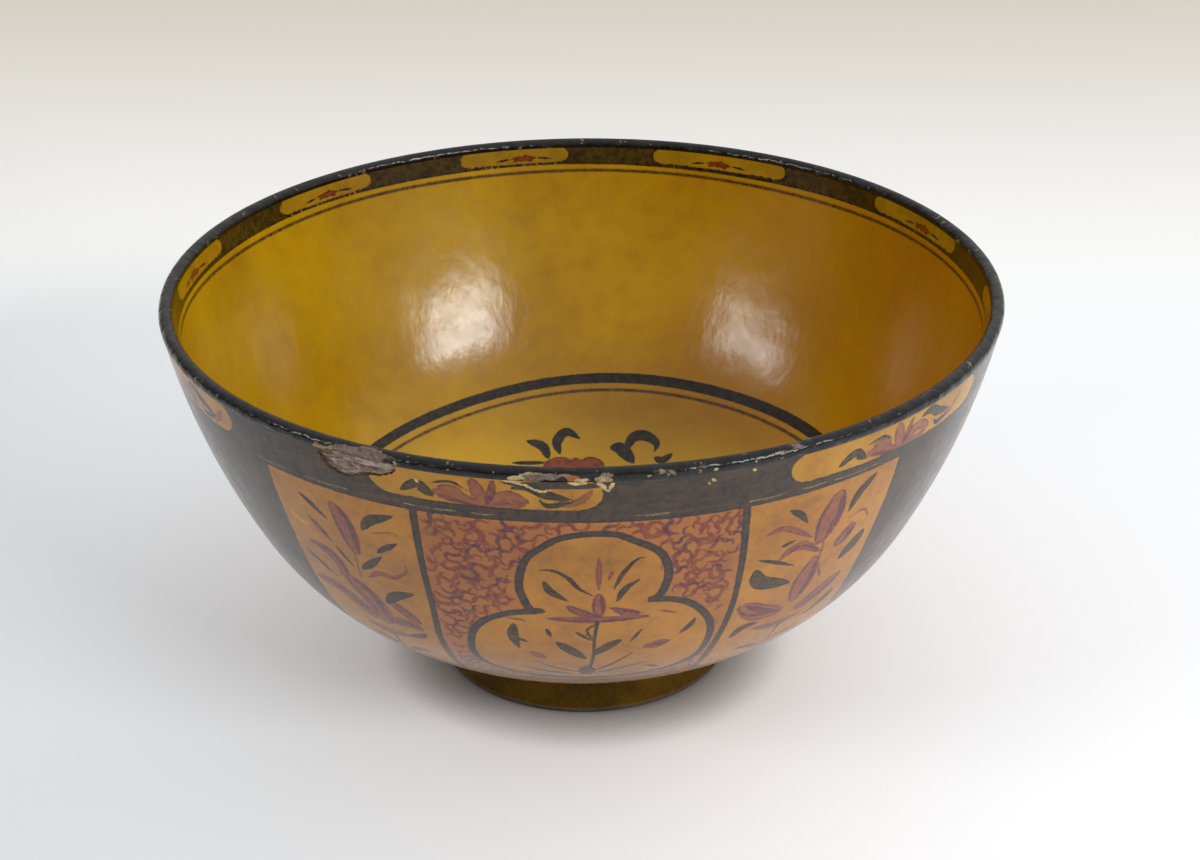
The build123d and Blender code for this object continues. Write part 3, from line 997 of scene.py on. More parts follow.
def make_bead():
    """The black bead: a cord bound on the edge, uneven by hand, with its losses and nick."""
    bm = bmesh.new()
    start = math.degrees(math.asin(bead_seat_drop / bead_radius))
    lean = math.degrees(edge_turn)
    sweep = np.radians(np.linspace(-90 - start + lean + 0.0, 90 + start + lean, 23) - 90 + 90)
    seat_half = wall_thickness / 2
    spots = []
    for angle in np.linspace(-start, 180 + start, 26):
        # Angles run round the bead from the outer end of its seat to the inner end
        local_out = bead_radius * math.cos(math.radians(angle))
        local_up = bead_radius * math.sin(math.radians(angle))
        tilt = edge_turn - math.pi / 2
        out = local_out * math.cos(tilt) - local_up * math.sin(tilt)
        up = local_out * math.sin(tilt) + local_up * math.cos(tilt)
        spots.append((bead_centre_radius + out, up + bead_centre_height))
    verts = [bm.verts.new((0, -radius, height)) for radius, height in spots]
    ring = verts + [verts[0]]
    edges = [bm.edges.new(pair) for pair in zip(ring, ring[1:])]
    bmesh.ops.spin(
        bm,
        geom=verts + edges,
        cent=(0, 0, 0),
        axis=(0, 0, 1),
        angle=2 * math.pi,
        steps=1080,
        use_merge=True,
        use_duplicate=False,
    )
    bmesh.ops.remove_doubles(bm, verts=bm.verts, dist=0.0005)
    bmesh.ops.recalc_face_normals(bm, faces=bm.faces)
    bm.verts.ensure_lookup_table()
    points = np.array([vert.co for vert in bm.verts])
    radius = np.hypot(points[:, 0], points[:, 1])
    height = points[:, 2]
    angle = np.arctan2(points[:, 0], -points[:, 1])
    bearing = np.degrees(angle)
    out = radius - bead_centre_radius
    up = height - bead_centre_height
    swell = 1 - 0.012 + 0.02 * ragged(angle, 3, 1.0)
    swell = np.minimum(swell, 1.0)
    seat = up < -bead_seat_drop * 0.97
    new_out = np.where(seat, out, out * swell)
    new_up = np.where(seat, up, up * swell)
    outside = out > 0.2
    hand = np.random.default_rng(17)
    grain = hand.normal(0, 0.07, len(points))
    bare = np.full(len(points), -3.0)
    for loss in (left_loss, front_loss):
        inside = loss_distance(bearing, height, loss)
        cut = np.clip(inside / 0.5, 0, 1) * outside
        depth = loss_depth if loss is left_loss else front_loss_depth
        limit = bead_radius - depth + grain + 0.25 * ragged(angle * 9, 8, 1.0)
        level = new_out + (np.minimum(new_out, limit) - new_out) * cut
        new_out = np.where(cut > 0, level, new_out)
        if loss is left_loss:
            bare = np.maximum(bare, np.where(outside, inside, -3.0))
    across = np.radians(turned(bearing, nick[0])) * rim_radius
    dip = np.clip(1 - (across / nick[2]) ** 2, 0, 1) * nick[3]
    new_up = np.where(up > 1.2, np.minimum(new_up, bead_radius - dip), new_up)
    bare = np.maximum(bare, np.where((up > 1.0) & (dip > 0), dip - 0.5, -3.0))
    radius = bead_centre_radius + new_out
    for index, vert in enumerate(bm.verts):
        vert.co = (
            radius[index] * math.sin(angle[index]),
            -radius[index] * math.cos(angle[index]),
            bead_centre_height + new_up[index],
        )
    marks = {name: np.full(len(points), -3.0) for name in ("hollow_shade", "chalk", "rust")}
    marks["fibre"] = bare
    for kind, middle, level, half_width, half_height in front_patches:
        beside = np.radians(turned(bearing, middle)) * rim_radius / half_width
        over = (up - level) / half_height
        value = (1 - np.hypot(beside, over)) * half_height
        marks[kind] = np.maximum(marks[kind], np.where(outside, value, -3.0))
    for kind, value in marks.items():
        layer = bm.verts.layers.float.new(kind)
        for index, vert in enumerate(bm.verts):
            vert[layer] = value[index]
    for face in bm.faces:
        face.smooth = True
    return mesh_piece("bead", bm)


def make_torn_paper():
    """The torn laminations shown in the left loss, standing on the paper below them."""
    bearing, height, half_width, half_height = left_loss
    bm = bmesh.new()
    bmesh.ops.create_grid(bm, x_segments=96, y_segments=44, size=1.0)
    hand = np.random.default_rng(29)
    layers = {name: bm.verts.layers.float.new(name) for name in ("torn", "depth")}
    outline = np.asarray(loss_outline) * (half_width + 0.5, half_height + 0.5)
    closed = smooth_line(np.vstack((outline, outline[:1])), 0.8)[:-1]
    spots = np.array([(vert.co.x, vert.co.y) for vert in bm.verts])
    spots = spots * (half_width + 1.0, half_height + 1.0)
    inside = polygon_distance(spots, closed)
    waves = [
        (hand.uniform(0.4, 2.6), hand.uniform(0, np.pi), hand.uniform(0, 6.3)) for _ in range(22)
    ]
    relief = np.zeros(len(spots))
    for pitch, way, phase in waves:
        run = spots[:, 0] * np.cos(way) * 0.7 + spots[:, 1] * np.sin(way) * 1.3
        relief += np.sin(run * pitch * 2 + phase) / (1 + pitch)
    relief = relief / np.abs(relief).max()
    lift = 0.32 + 0.2 * relief + hand.normal(0, 0.04, len(spots))
    lift = np.clip(lift, 0.05, 0.75) * np.clip(inside / 0.5, 0, 1)
    level = height + spots[:, 1]
    below = (edge_height - level) / math.sin(edge_turn)
    degrees = bearing + np.degrees(spots[:, 0] / edge_radius)
    for index, vert in enumerate(bm.verts):
        depth = paper_depth - lift[index] + 0.06
        spot = places(np.array([degrees[index]]), np.array([below[index]]), depth)[0]
        vert.co = Vector(spot)
        vert[layers["torn"]] = inside[index]
        vert[layers["depth"]] = lift[index]
    away = [
        vert
        for index, vert in enumerate(bm.verts)
        if inside[index] < -0.15 or below[index] < 0.1
    ]
    bmesh.ops.delete(bm, geom=away, context="VERTS")
    # The grid faces outwards already. Its back is sunk in the paper, and closes it
    bmesh.ops.solidify(bm, geom=bm.faces[:], thickness=0.35)
    for face in bm.faces:
        face.smooth = True
    return mesh_piece("torn_paper", bm)


# ---- Materials


def colour(red, green, blue):
    """A colour named as it looks on a screen, made linear."""
    def straight(value):
        value /= 255
        return value / 12.92 if value <= 0.04045 else ((value + 0.055) / 1.055) ** 2.4

    return (straight(red), straight(green), straight(blue), 1.0)


class Board:
    """A node tree being wired."""

    def __init__(self, tree):
        self.tree = tree

    def add(self, kind, **inputs):
        """A node with its settings and inputs. An input that is a socket is linked."""
        node = self.tree.nodes.new(kind)
        for key, value in inputs.items():
            if hasattr(node, key) and key not in node.inputs:
                setattr(node, key, value)
                continue
            socket = node.inputs[int(key[1:])] if key[0] == "i" and key[1:].isdigit() else node.inputs[key]
            if isinstance(value, bpy.types.NodeSocket):
                self.tree.links.new(value, socket)
            else:
                socket.default_value = value
        return node

    def math(self, operation, *values, clamp=False):
        node = self.tree.nodes.new("ShaderNodeMath")
        node.operation = operation
        node.use_clamp = clamp
        for socket, value in zip(node.inputs, values):
            if isinstance(value, bpy.types.NodeSocket):
                self.tree.links.new(value, socket)
            else:
                socket.default_value = value
        return node.outputs[0]

    def blend(self, share, under, over, mode="MIX"):
        """Two colours mixed by a share."""
        node = self.tree.nodes.new("ShaderNodeMix")
        node.data_type = "RGBA"
        node.blend_type = mode
        for socket, value in ((node.inputs[0], share), (node.inputs[6], under), (node.inputs[7], over)):
            if isinstance(value, bpy.types.NodeSocket):
                self.tree.links.new(value, socket)
            else:
                socket.default_value = value
        return node.outputs[2]

    def ramp(self, value, low, high, start=0.0, end=1.0):
        """A value carried smoothly from one range to another."""
        node = self.tree.nodes.new("ShaderNodeMapRange")
        node.interpolation_type = "SMOOTHSTEP"
        for index, given in enumerate((value, low, high, start, end)):
            if isinstance(given, bpy.types.NodeSocket):
                self.tree.links.new(given, node.inputs[index])
            else:
                node.inputs[index].default_value = given
        return node.outputs[0]

    def noise(self, where, scale, detail=3.0, rough=0.55, distortion=0.0):
        node = self.tree.nodes.new("ShaderNodeTexNoise")
        self.tree.links.new(where, node.inputs["Vector"])
        node.inputs["Scale"].default_value = scale
        node.inputs["Detail"].default_value = detail
        node.inputs["Roughness"].default_value = rough
        node.inputs["Distortion"].default_value = distortion
        return node.outputs["Fac"]

    def group(self, tree, **values):
        """A shared effect placed in this material."""
        node = self.tree.nodes.new("ShaderNodeGroup")
        node.node_tree = tree
        for key, value in values.items():
            socket = node.inputs[key.replace("_", " ")]
            if isinstance(value, bpy.types.NodeSocket):
                self.tree.links.new(value, socket)
            else:
                socket.default_value = value
        return node

    def mark(self, name):
        """A pigment's distance, carried by the film's mesh."""
        node = self.tree.nodes.new("ShaderNodeAttribute")
        node.attribute_name = name
        return node.outputs["Fac"]


def new_group(name, inputs, outputs):
    """An empty node group with its named sockets."""
    tree = bpy.data.node_groups.new(name, "ShaderNodeTree")
    for title, kind, value in inputs:
        socket = tree.interface.new_socket(title, in_out="INPUT", socket_type=f"NodeSocket{kind}")
        if value is not None:
            socket.default_value = value
    for title, kind in outputs:
        tree.interface.new_socket(title, in_out="OUTPUT", socket_type=f"NodeSocket{kind}")
    start = tree.nodes.new("NodeGroupInput").outputs
    end = tree.nodes.new("NodeGroupOutput").inputs
    return tree, Board(tree), start, end


def in_millimetres(board):
    """Object coordinates in millimetres."""
    where = board.tree.nodes.new("ShaderNodeTexCoord").outputs["Object"]
    node = board.tree.nodes.new("ShaderNodeMapping")
    board.tree.links.new(where, node.inputs["Vector"])
    node.inputs["Scale"].default_value = (1000, 1000, 1000)
    return node.outputs["Vector"]


def brush_edge_group():
    """Paint from its distance: an uneven edge, a darker line where the paint pooled, and
    thin places where the bristles ran dry."""
    tree, board, start, end = new_group(
        "brush edge",
        (("Distance", "Float", 0.0), ("Wobble", "Float", 0.25), ("Softness", "Float", 0.1), ("Dryness", "Float", 0.2)),
        (("Cover", "Float"), ("Pool", "Float")),
    )
    where = in_millimetres(board)
    wander = board.math("SUBTRACT", board.noise(where, 1.1, 3.0), 0.5)
    moved = board.math("MULTIPLY_ADD", wander, start["Wobble"], start["Distance"])
    soft = start["Softness"]
    body = board.ramp(moved, board.math("MULTIPLY", soft, -1.0), soft)
    dry = board.ramp(board.noise(where, 0.55, 4.0, 0.7), 0.62, 0.4, 1.0, 0.0)
    thin = board.math("MULTIPLY", board.math("SUBTRACT", 1.0, dry), start["Dryness"])
    board.tree.links.new(board.math("MULTIPLY", body, board.math("SUBTRACT", 1.0, thin)), end["Cover"])
    board.tree.links.new(board.ramp(moved, 0.9, 0.15), end["Pool"])
    return tree


def mottling_group():
    """Slow and fine variation of a colour, as in old varnish laid by hand."""
    tree, board, start, end = new_group(
        "mottling",
        (("Colour", "Color", (0.5, 0.5, 0.5, 1)), ("Dark", "Color", (0.3, 0.3, 0.3, 1)), ("Amount", "Float", 0.5), ("Coarse", "Float", 0.03), ("Fine", "Float", 0.4)),
        (("Colour", "Color"), ("Value", "Float")),
    )
    where = in_millimetres(board)

    def noise_of(size, detail):
        node = board.tree.nodes.new("ShaderNodeTexNoise")
        board.tree.links.new(where, node.inputs["Vector"])
        board.tree.links.new(size, node.inputs["Scale"])
        node.inputs["Detail"].default_value = detail
        node.inputs["Roughness"].default_value = 0.6
        return node.outputs["Fac"]

    slow = board.ramp(noise_of(start["Coarse"], 3.0), 0.3, 0.7)
    fine = board.ramp(noise_of(start["Fine"], 5.0), 0.35, 0.75)
    both = board.math("ADD", board.math("MULTIPLY", slow, 0.65), board.math("MULTIPLY", fine, 0.35))
    share = board.math("MULTIPLY", both, start["Amount"], clamp=True)
    board.tree.links.new(board.blend(share, start["Colour"], start["Dark"]), end["Colour"])
    board.tree.links.new(both, end["Value"])
    return tree


def cracks_group():
    """A net of hairline cracks in old varnish, faint and broken."""
    tree, board, start, end = new_group(
        "fine cracks",
        (("Scale", "Float", 0.3), ("Width", "Float", 0.04), ("Amount", "Float", 0.5)),
        (("Mask", "Float"),),
    )
    where = in_millimetres(board)
    node = board.tree.nodes.new("ShaderNodeTexVoronoi")
    node.feature = "DISTANCE_TO_EDGE"
    board.tree.links.new(where, node.inputs["Vector"])
    board.tree.links.new(start["Scale"], node.inputs["Scale"])
    line = board.ramp(node.outputs["Distance"], start["Width"], 0.0)
    broken = board.ramp(board.noise(where, 0.08, 3.0), 0.45, 0.62)
    board.tree.links.new(board.math("MULTIPLY", board.math("MULTIPLY", line, broken), start["Amount"]), end["Mask"])
    return tree


def specks_group():
    """Small worn or chipped specks, fewer where the amount is low."""
    tree, board, start, end = new_group(
        "worn specks",
        (("Scale", "Float", 0.5), ("Amount", "Float", 0.3), ("Sharpness", "Float", 0.04)),
        (("Mask", "Float"),),
    )
    where = in_millimetres(board)
    node = board.tree.nodes.new("ShaderNodeTexNoise")
    board.tree.links.new(where, node.inputs["Vector"])
    board.tree.links.new(start["Scale"], node.inputs["Scale"])
    node.inputs["Detail"].default_value = 6.0
    node.inputs["Roughness"].default_value = 0.68
    level = board.math("SUBTRACT", 0.85, board.math("MULTIPLY", start["Amount"], 0.45))
    high = board.math("ADD", level, start["Sharpness"])
    board.tree.links.new(board.ramp(node.outputs["Fac"], level, high), end["Mask"])
    return tree


brush_edge = brush_edge_group()
mottling = mottling_group()
fine_cracks = cracks_group()
worn_specks = specks_group()


def new_material(name):
    material = bpy.data.materials.new(name)
    material.use_nodes = True
    tree = material.node_tree
    shader = next(node for node in tree.nodes if node.type == "BSDF_PRINCIPLED")
    return material, Board(tree), shader


def finish_shader(board, shader, base, roughness, height, strength, distance):
    """Feeds a material's pattern to its shader."""
    links = board.tree.links
    links.new(base, shader.inputs["Base Color"])
    if isinstance(roughness, bpy.types.NodeSocket):
        links.new(roughness, shader.inputs["Roughness"])
    else:
        shader.inputs["Roughness"].default_value = roughness
    bump = board.tree.nodes.new("ShaderNodeBump")
    bump.inputs["Strength"].default_value = strength
    bump.inputs["Distance"].default_value = distance * metre
    links.new(height, bump.inputs["Height"])
    links.new(bump.outputs["Normal"], shader.inputs["Normal"])
    return bump


def brushed(board, where, scale):
    """Noise drawn out level round the bowl, as a wide brush leaves it."""
    node = board.tree.nodes.new("ShaderNodeMapping")
    board.tree.links.new(where, node.inputs["Vector"])
    node.inputs["Scale"].default_value = (0.16, 0.16, 2.4)
    return board.noise(node.outputs["Vector"], scale, 5.0, 0.62)


def hand_waves(board, where):
    """Low waves of a hand-smoothed wall, with the pull of a varnish brush over them."""
    slow = board.noise(where, 0.04, 2.0)
    node = board.tree.nodes.new("ShaderNodeMapping")
    board.tree.links.new(where, node.inputs["Vector"])
    node.inputs["Scale"].default_value = (1, 1, 0.45)
    pull = board.noise(node.outputs["Vector"], 0.36, 4.0, 0.5)
    return board.math("MULTIPLY_ADD", pull, 0.2, slow)


def painted_outside_material():
    """Ochre ground, orange wash, rose, plum and slate strokes and dark bands under varnish."""
    material, board, shader = new_material("painted_outside")
    where = in_millimetres(board)
    ochre = board.group(
        mottling,
        Colour=colour(188, 126, 34),
        Dark=colour(130, 78, 32),
        Amount=0.8,
        Coarse=0.045,
        Fine=0.4,
    )
    base = ochre.outputs["Colour"]

    def paint(base, name, edge, body, thin, wobble=0.35, soft=0.14, dry=0.25):
        """Lays one pigment over what is there: dense at its edges, thinner inside."""
        mark = board.group(brush_edge, Distance=board.mark(name), Wobble=wobble, Softness=soft, Dryness=dry)
        pool = mark.outputs["Pool"]
        tone = board.blend(pool, body, edge)
        cover = board.math("MULTIPLY", mark.outputs["Cover"], board.math("MULTIPLY_ADD", pool, 1 - thin, thin))
        return board.blend(cover, base, tone), mark.outputs["Cover"]

    gold = board.group(mottling, Colour=colour(186, 134, 26), Dark=colour(146, 92, 16), Amount=0.8, Coarse=0.09, Fine=0.6)
    base, _ = paint(base, "cartouche", gold.outputs["Colour"], gold.outputs["Colour"], 1.0, 0.3, 0.1, 0.1)
    base, _ = paint(base, "wash", colour(168, 98, 50), colour(160, 92, 46), 0.8, 0.4, 0.4, 0.4)
    base, _ = paint(base, "maroon", colour(112, 44, 36), colour(128, 52, 42), 0.92, 0.5, 0.22, 0.3)
    base, rose = paint(base, "rose", colour(112, 44, 52), colour(126, 62, 58), 0.86, 0.5, 0.22, 0.25)
    base, _ = paint(base, "plum", colour(84, 34, 52), colour(92, 38, 52), 0.85, 0.5, 0.25, 0.3)
    base, _ = paint(base, "rust", colour(118, 66, 36), colour(128, 72, 36), 0.8, 0.4, 0.2, 0.3)
    base, leaf = paint(base, "leaf", colour(14, 18, 16), colour(24, 28, 24), 0.97, 0.4, 0.14, 0.14)
    slate = board.group(mottling, Colour=colour(34, 32, 32), Dark=colour(62, 50, 42), Amount=0.7, Coarse=0.05, Fine=0.35)
    pulled = board.ramp(brushed(board, where, 0.5), 0.5, 0.72)
    streaked = board.blend(board.math("MULTIPLY", pulled, 0.6), slate.outputs["Colour"], colour(84, 66, 52))
    base, dark = paint(base, "dark", colour(28, 30, 32), streaked, 1.0, 0.35, 0.14, 0.1)
    base, _ = paint(base, "pale", colour(140, 120, 78), colour(140, 120, 78), 1.0, 0.6, 0.14, 0.6)
    chalk = board.group(mottling, Colour=colour(214, 190, 140), Dark=colour(150, 116, 74), Amount=1.0, Coarse=0.25, Fine=1.2)
    base, bare = paint(base, "chalk", colour(206, 180, 126), chalk.outputs["Colour"], 1.0, 0.9, 0.12, 0.3)
    specks = board.group(worn_specks, Scale=0.5, Amount=0.16, Sharpness=0.03)
    base = board.blend(specks.outputs["Mask"], base, colour(176, 140, 84))
    grime = board.group(worn_specks, Scale=0.09, Amount=0.62, Sharpness=0.16)
    base = board.blend(board.math("MULTIPLY", grime.outputs["Mask"], 0.35), base, colour(84, 58, 42))
    # The outside turns darker and browner towards the bottom, along a wavering line.
    apart = board.tree.nodes.new("ShaderNodeSeparateXYZ")
    board.tree.links.new(where, apart.inputs[0])
    wavering_height = board.math("MULTIPLY_ADD", board.noise(where, 0.04, 4.0), 30.0, apart.outputs["Z"])
    bottom_darkening = board.ramp(wavering_height, 75.0, 30.0, 0.0, 0.34)
    base = board.blend(bottom_darkening, base, colour(104, 66, 48))
    cracks = board.group(fine_cracks, Scale=0.3, Width=0.02, Amount=0.14)
    base = board.blend(cracks.outputs["Mask"], base, colour(52, 36, 26))
    rough = board.math("MULTIPLY_ADD", board.noise(where, 0.25, 4.0), 0.2, 0.12)
    rough = board.math("MAXIMUM", rough, board.math("MULTIPLY", bare, 0.8))
    waves = hand_waves(board, where)
    shader.inputs["Specular IOR Level"].default_value = 0.46
    paint_height = board.math("ADD", rose, board.math("ADD", leaf, dark))
    height = board.math("MULTIPLY_ADD", paint_height, 0.02, waves)
    finish_shader(board, shader, base, rough, height, 0.5, 0.8)
    return material


def painted_inside_material():
    """Golden ochre with dark border and lines, dark red flowers, all under varnish, with painted light brightening the
    floor of the bowl.
    """
    material, board, shader = new_material("painted_inside")
    where = in_millimetres(board)
    ochre = board.group(
        mottling,
        Colour=colour(184, 142, 0),
        Dark=colour(148, 104, 0),
        Amount=0.85,
        Coarse=0.022,
        Fine=0.2,
    )
    apart = board.tree.nodes.new("ShaderNodeSeparateXYZ")
    board.tree.links.new(where, apart.inputs[0])
    # The inside turns a darker orange towards the right, along a wavering line.
    right_orange_share = board.ramp(board.math("MULTIPLY_ADD", board.noise(where, 0.02, 3.0), 60.0, apart.outputs["X"]), 20.0, 130.0)
    base = board.blend(board.math("MULTIPLY", right_orange_share, 0.68), ochre.outputs["Colour"], colour(160, 92, 0))
    # Painted light: the floor of the bowl is painted a brighter gold.
    low = board.ramp(apart.outputs["Z"], 36.0, 16.0, 0.0, 1.0)
    base = board.blend(low, base, colour(234, 184, 4))

    def paint(base, name, edge, body, wobble, soft, dry):
        mark = board.group(brush_edge, Distance=board.mark(name), Wobble=wobble, Softness=soft, Dryness=dry)
        tone = board.blend(mark.outputs["Pool"], body, edge)
        return board.blend(mark.outputs["Cover"], base, tone)

    olive = board.group(mottling, Colour=colour(164, 124, 6), Dark=colour(124, 88, 4), Amount=0.8, Coarse=0.08, Fine=0.5)
    base = paint(base, "cartouche", olive.outputs["Colour"], olive.outputs["Colour"], 0.4, 0.2, 0.1)
    umber = board.group(mottling, Colour=colour(30, 22, 2), Dark=colour(60, 44, 6), Amount=0.85, Coarse=0.07, Fine=0.5)
    base = paint(base, "dark", colour(16, 12, 4), umber.outputs["Colour"], 0.3, 0.16, 0.1)
    base = paint(base, "line", colour(60, 42, 6), colour(56, 40, 6), 0.35, 0.3, 0.15)
    base = paint(base, "rose", colour(92, 24, 8), colour(142, 46, 16), 0.5, 0.2, 0.15)
    base = paint(base, "leaf", colour(6, 6, 4), colour(14, 14, 8), 0.4, 0.2, 0.06)
    stains = board.group(worn_specks, Scale=0.05, Amount=0.3, Sharpness=0.2)
    base = board.blend(board.math("MULTIPLY", stains.outputs["Mask"], 0.25), base, colour(112, 80, 0))
    rough = board.math("MULTIPLY_ADD", board.noise(where, 0.2, 4.0), 0.16, 0.13)
    shader.inputs["Specular IOR Level"].default_value = 0.44
    finish_shader(board, shader, base, rough, hand_waves(board, where), 0.5, 0.9)
    return material


def bead_material():
    """Black lacquer, worn to brown and grey specks, with paper and chalk bare in the losses and the shade of a hollow
    painted dark brown.
    """
    material, board, shader = new_material("black_bead")
    where = in_millimetres(board)
    black = board.group(mottling, Colour=colour(3, 3, 3), Dark=colour(24, 20, 14), Amount=0.7, Coarse=0.06, Fine=0.5)
    base = black.outputs["Colour"]
    worn = board.group(worn_specks, Scale=0.3, Amount=0.52, Sharpness=0.03)
    base = board.blend(worn.outputs["Mask"], base, colour(122, 104, 76))
    dust = board.group(worn_specks, Scale=0.9, Amount=0.24, Sharpness=0.03)
    base = board.blend(dust.outputs["Mask"], base, colour(150, 146, 136))
    gone = 0.0
    for name, light, dark, wobble in (
        ("fibre", colour(176, 154, 140), colour(92, 70, 60), 0.7),
        # Painted shade of the hollow in the left loss, in dark brown.
        ("hollow_shade", colour(84, 48, 26), colour(46, 26, 16), 0.3),
        ("rust", colour(196, 116, 58), colour(140, 66, 34), 0.6),
        ("chalk", colour(226, 208, 156), colour(160, 124, 78), 0.8),
    ):
        mark = board.group(brush_edge, Distance=board.mark(name), Wobble=wobble, Softness=0.08, Dryness=0.1)
        tone = board.group(mottling, Colour=light, Dark=dark, Amount=1.0, Coarse=0.3, Fine=1.2)
        base = board.blend(mark.outputs["Cover"], base, tone.outputs["Colour"])
        gone = board.math("MAXIMUM", gone, mark.outputs["Cover"])
    rough = board.math("MULTIPLY_ADD", board.noise(where, 0.3, 3.0), 0.2, 0.14)
    rough = board.math("MAXIMUM", rough, board.math("MULTIPLY", gone, 0.85))
    shader.inputs["Specular IOR Level"].default_value = 0.44
    grain = board.noise(where, 0.26, 2.0, 0.4)
    fibres = board.math("MULTIPLY", gone, board.noise(where, 1.4, 5.0, 0.75))
    height = board.math("ADD", grain, board.math("MULTIPLY", fibres, 1.2))
    height = board.math("SUBTRACT", height, board.math("MULTIPLY", worn.outputs["Mask"], 0.15))
    finish_shader(board, shader, base, rough, height, 0.9, 0.9)
    return material


def torn_paper_material():
    """Grey-brown paper torn along its fibres, with pale threads, dark cracks, a rusty rim and painted shade in its low
    places.
    """
    material, board, shader = new_material("torn_fibre")
    where = in_millimetres(board)
    fibre = board.group(mottling, Colour=colour(176, 152, 138), Dark=colour(112, 88, 78), Amount=1.0, Coarse=0.3, Fine=1.2)
    node = board.tree.nodes.new("ShaderNodeMapping")
    board.tree.links.new(where, node.inputs["Vector"])
    node.inputs["Rotation"].default_value = (0, 0.45, -0.5)
    node.inputs["Scale"].default_value = (0.25, 0.4, 1.2)
    drawn = board.noise(node.outputs["Vector"], 0.8, 5.0, 0.65, 0.6)
    base = board.blend(board.ramp(drawn, 0.5, 0.6), fibre.outputs["Colour"], colour(196, 180, 166))
    base = board.blend(board.ramp(drawn, 0.46, 0.38), base, colour(84, 58, 48))
    inside = board.mark("torn")
    wander = board.math("SUBTRACT", board.noise(where, 0.45, 4.0), 0.5)
    rim = board.ramp(board.math("MULTIPLY_ADD", wander, 2.0, inside), 0.8, 0.2)
    base = board.blend(board.math("MULTIPLY", rim, 0.75), base, colour(112, 66, 44))
    # Painted shade: the paper is painted darker where it lies low in the loss.
    low = board.ramp(board.mark("depth"), 0.28, 0.1)
    base = board.blend(board.math("MULTIPLY", low, 0.7), base, colour(48, 34, 30))
    fluff = board.math("MULTIPLY_ADD", drawn, 1.6, board.noise(where, 1.6, 6.0, 0.75, 1.4))
    finish_shader(board, shader, base, 0.85, fluff, 1.0, 0.5)
    return material


def plain_layer_material(name, light, dark, rough, coarse=0.1, fine=0.8, lift=0.3):
    """A bare layer with grain: chalk ground, paper or foot lacquer."""
    material, board, shader = new_material(name)
    where = in_millimetres(board)
    tone = board.group(mottling, Colour=light, Dark=dark, Amount=0.9, Coarse=coarse, Fine=fine)
    grain = board.noise(where, fine * 1.5, 5.0, 0.65)
    finish_shader(board, shader, tone.outputs["Colour"], rough, grain, 0.5, lift)
    return material, board, shader


# ---- Pieces

outside_work = paint_outside()
inside_work = paint_inside()

foot_below = float(
    np.interp(-foot_top_radius, -ring_at(np.linspace(60, 125, 400), 0.0)[0], np.linspace(60, 125, 400))
)
outside = painted_film(
    "painted_outside", outside_work, True, foot_below - 0.05, loss_in_layout(lacquer_break_back)
)
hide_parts("outer_lacquer")
inside = painted_film("painted_inside", inside_work, False, None)
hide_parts("inner_lacquer")
bead = make_bead()
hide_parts("rim_bead")
torn = make_torn_paper()
for piece, material in (
    (outside, painted_outside_material()),
    (inside, painted_inside_material()),
    (bead, bead_material()),
    (torn, torn_paper_material()),
):
    piece.data.materials.append(material)
    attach(piece, "root")

layer_looks = {
    "paper_wall": ("paper_core", colour(140, 120, 100), colour(98, 80, 66), 0.92),
    "outer_ground": ("chalk_outside", colour(150, 112, 72), colour(84, 54, 38), 0.88),
    "inner_ground": ("chalk_inside", colour(214, 194, 150), colour(176, 150, 104), 0.88),
    "foot_ring": ("foot_paper", colour(92, 72, 50), colour(60, 44, 28), 0.85),
    "foot_lacquer": ("foot_lacquer_brown", colour(90, 63, 2), colour(54, 36, 0), 0.4),
    "recess_coat": ("recess_brown", colour(66, 48, 26), colour(40, 28, 14), 0.6),
}
for node, (name, light, dark, rough) in layer_looks.items():
    material, board, shader = plain_layer_material(name, light, dark, rough)
    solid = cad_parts[node]
    if node == "foot_lacquer":
        shader.inputs["Specular IOR Level"].default_value = 0.1
    for index in range(max(1, len(solid.material_slots))):
        if len(solid.material_slots) <= index:
            solid.data.materials.append(material)
        solid.material_slots[index].material = material


# ---- Floor, lamps and camera


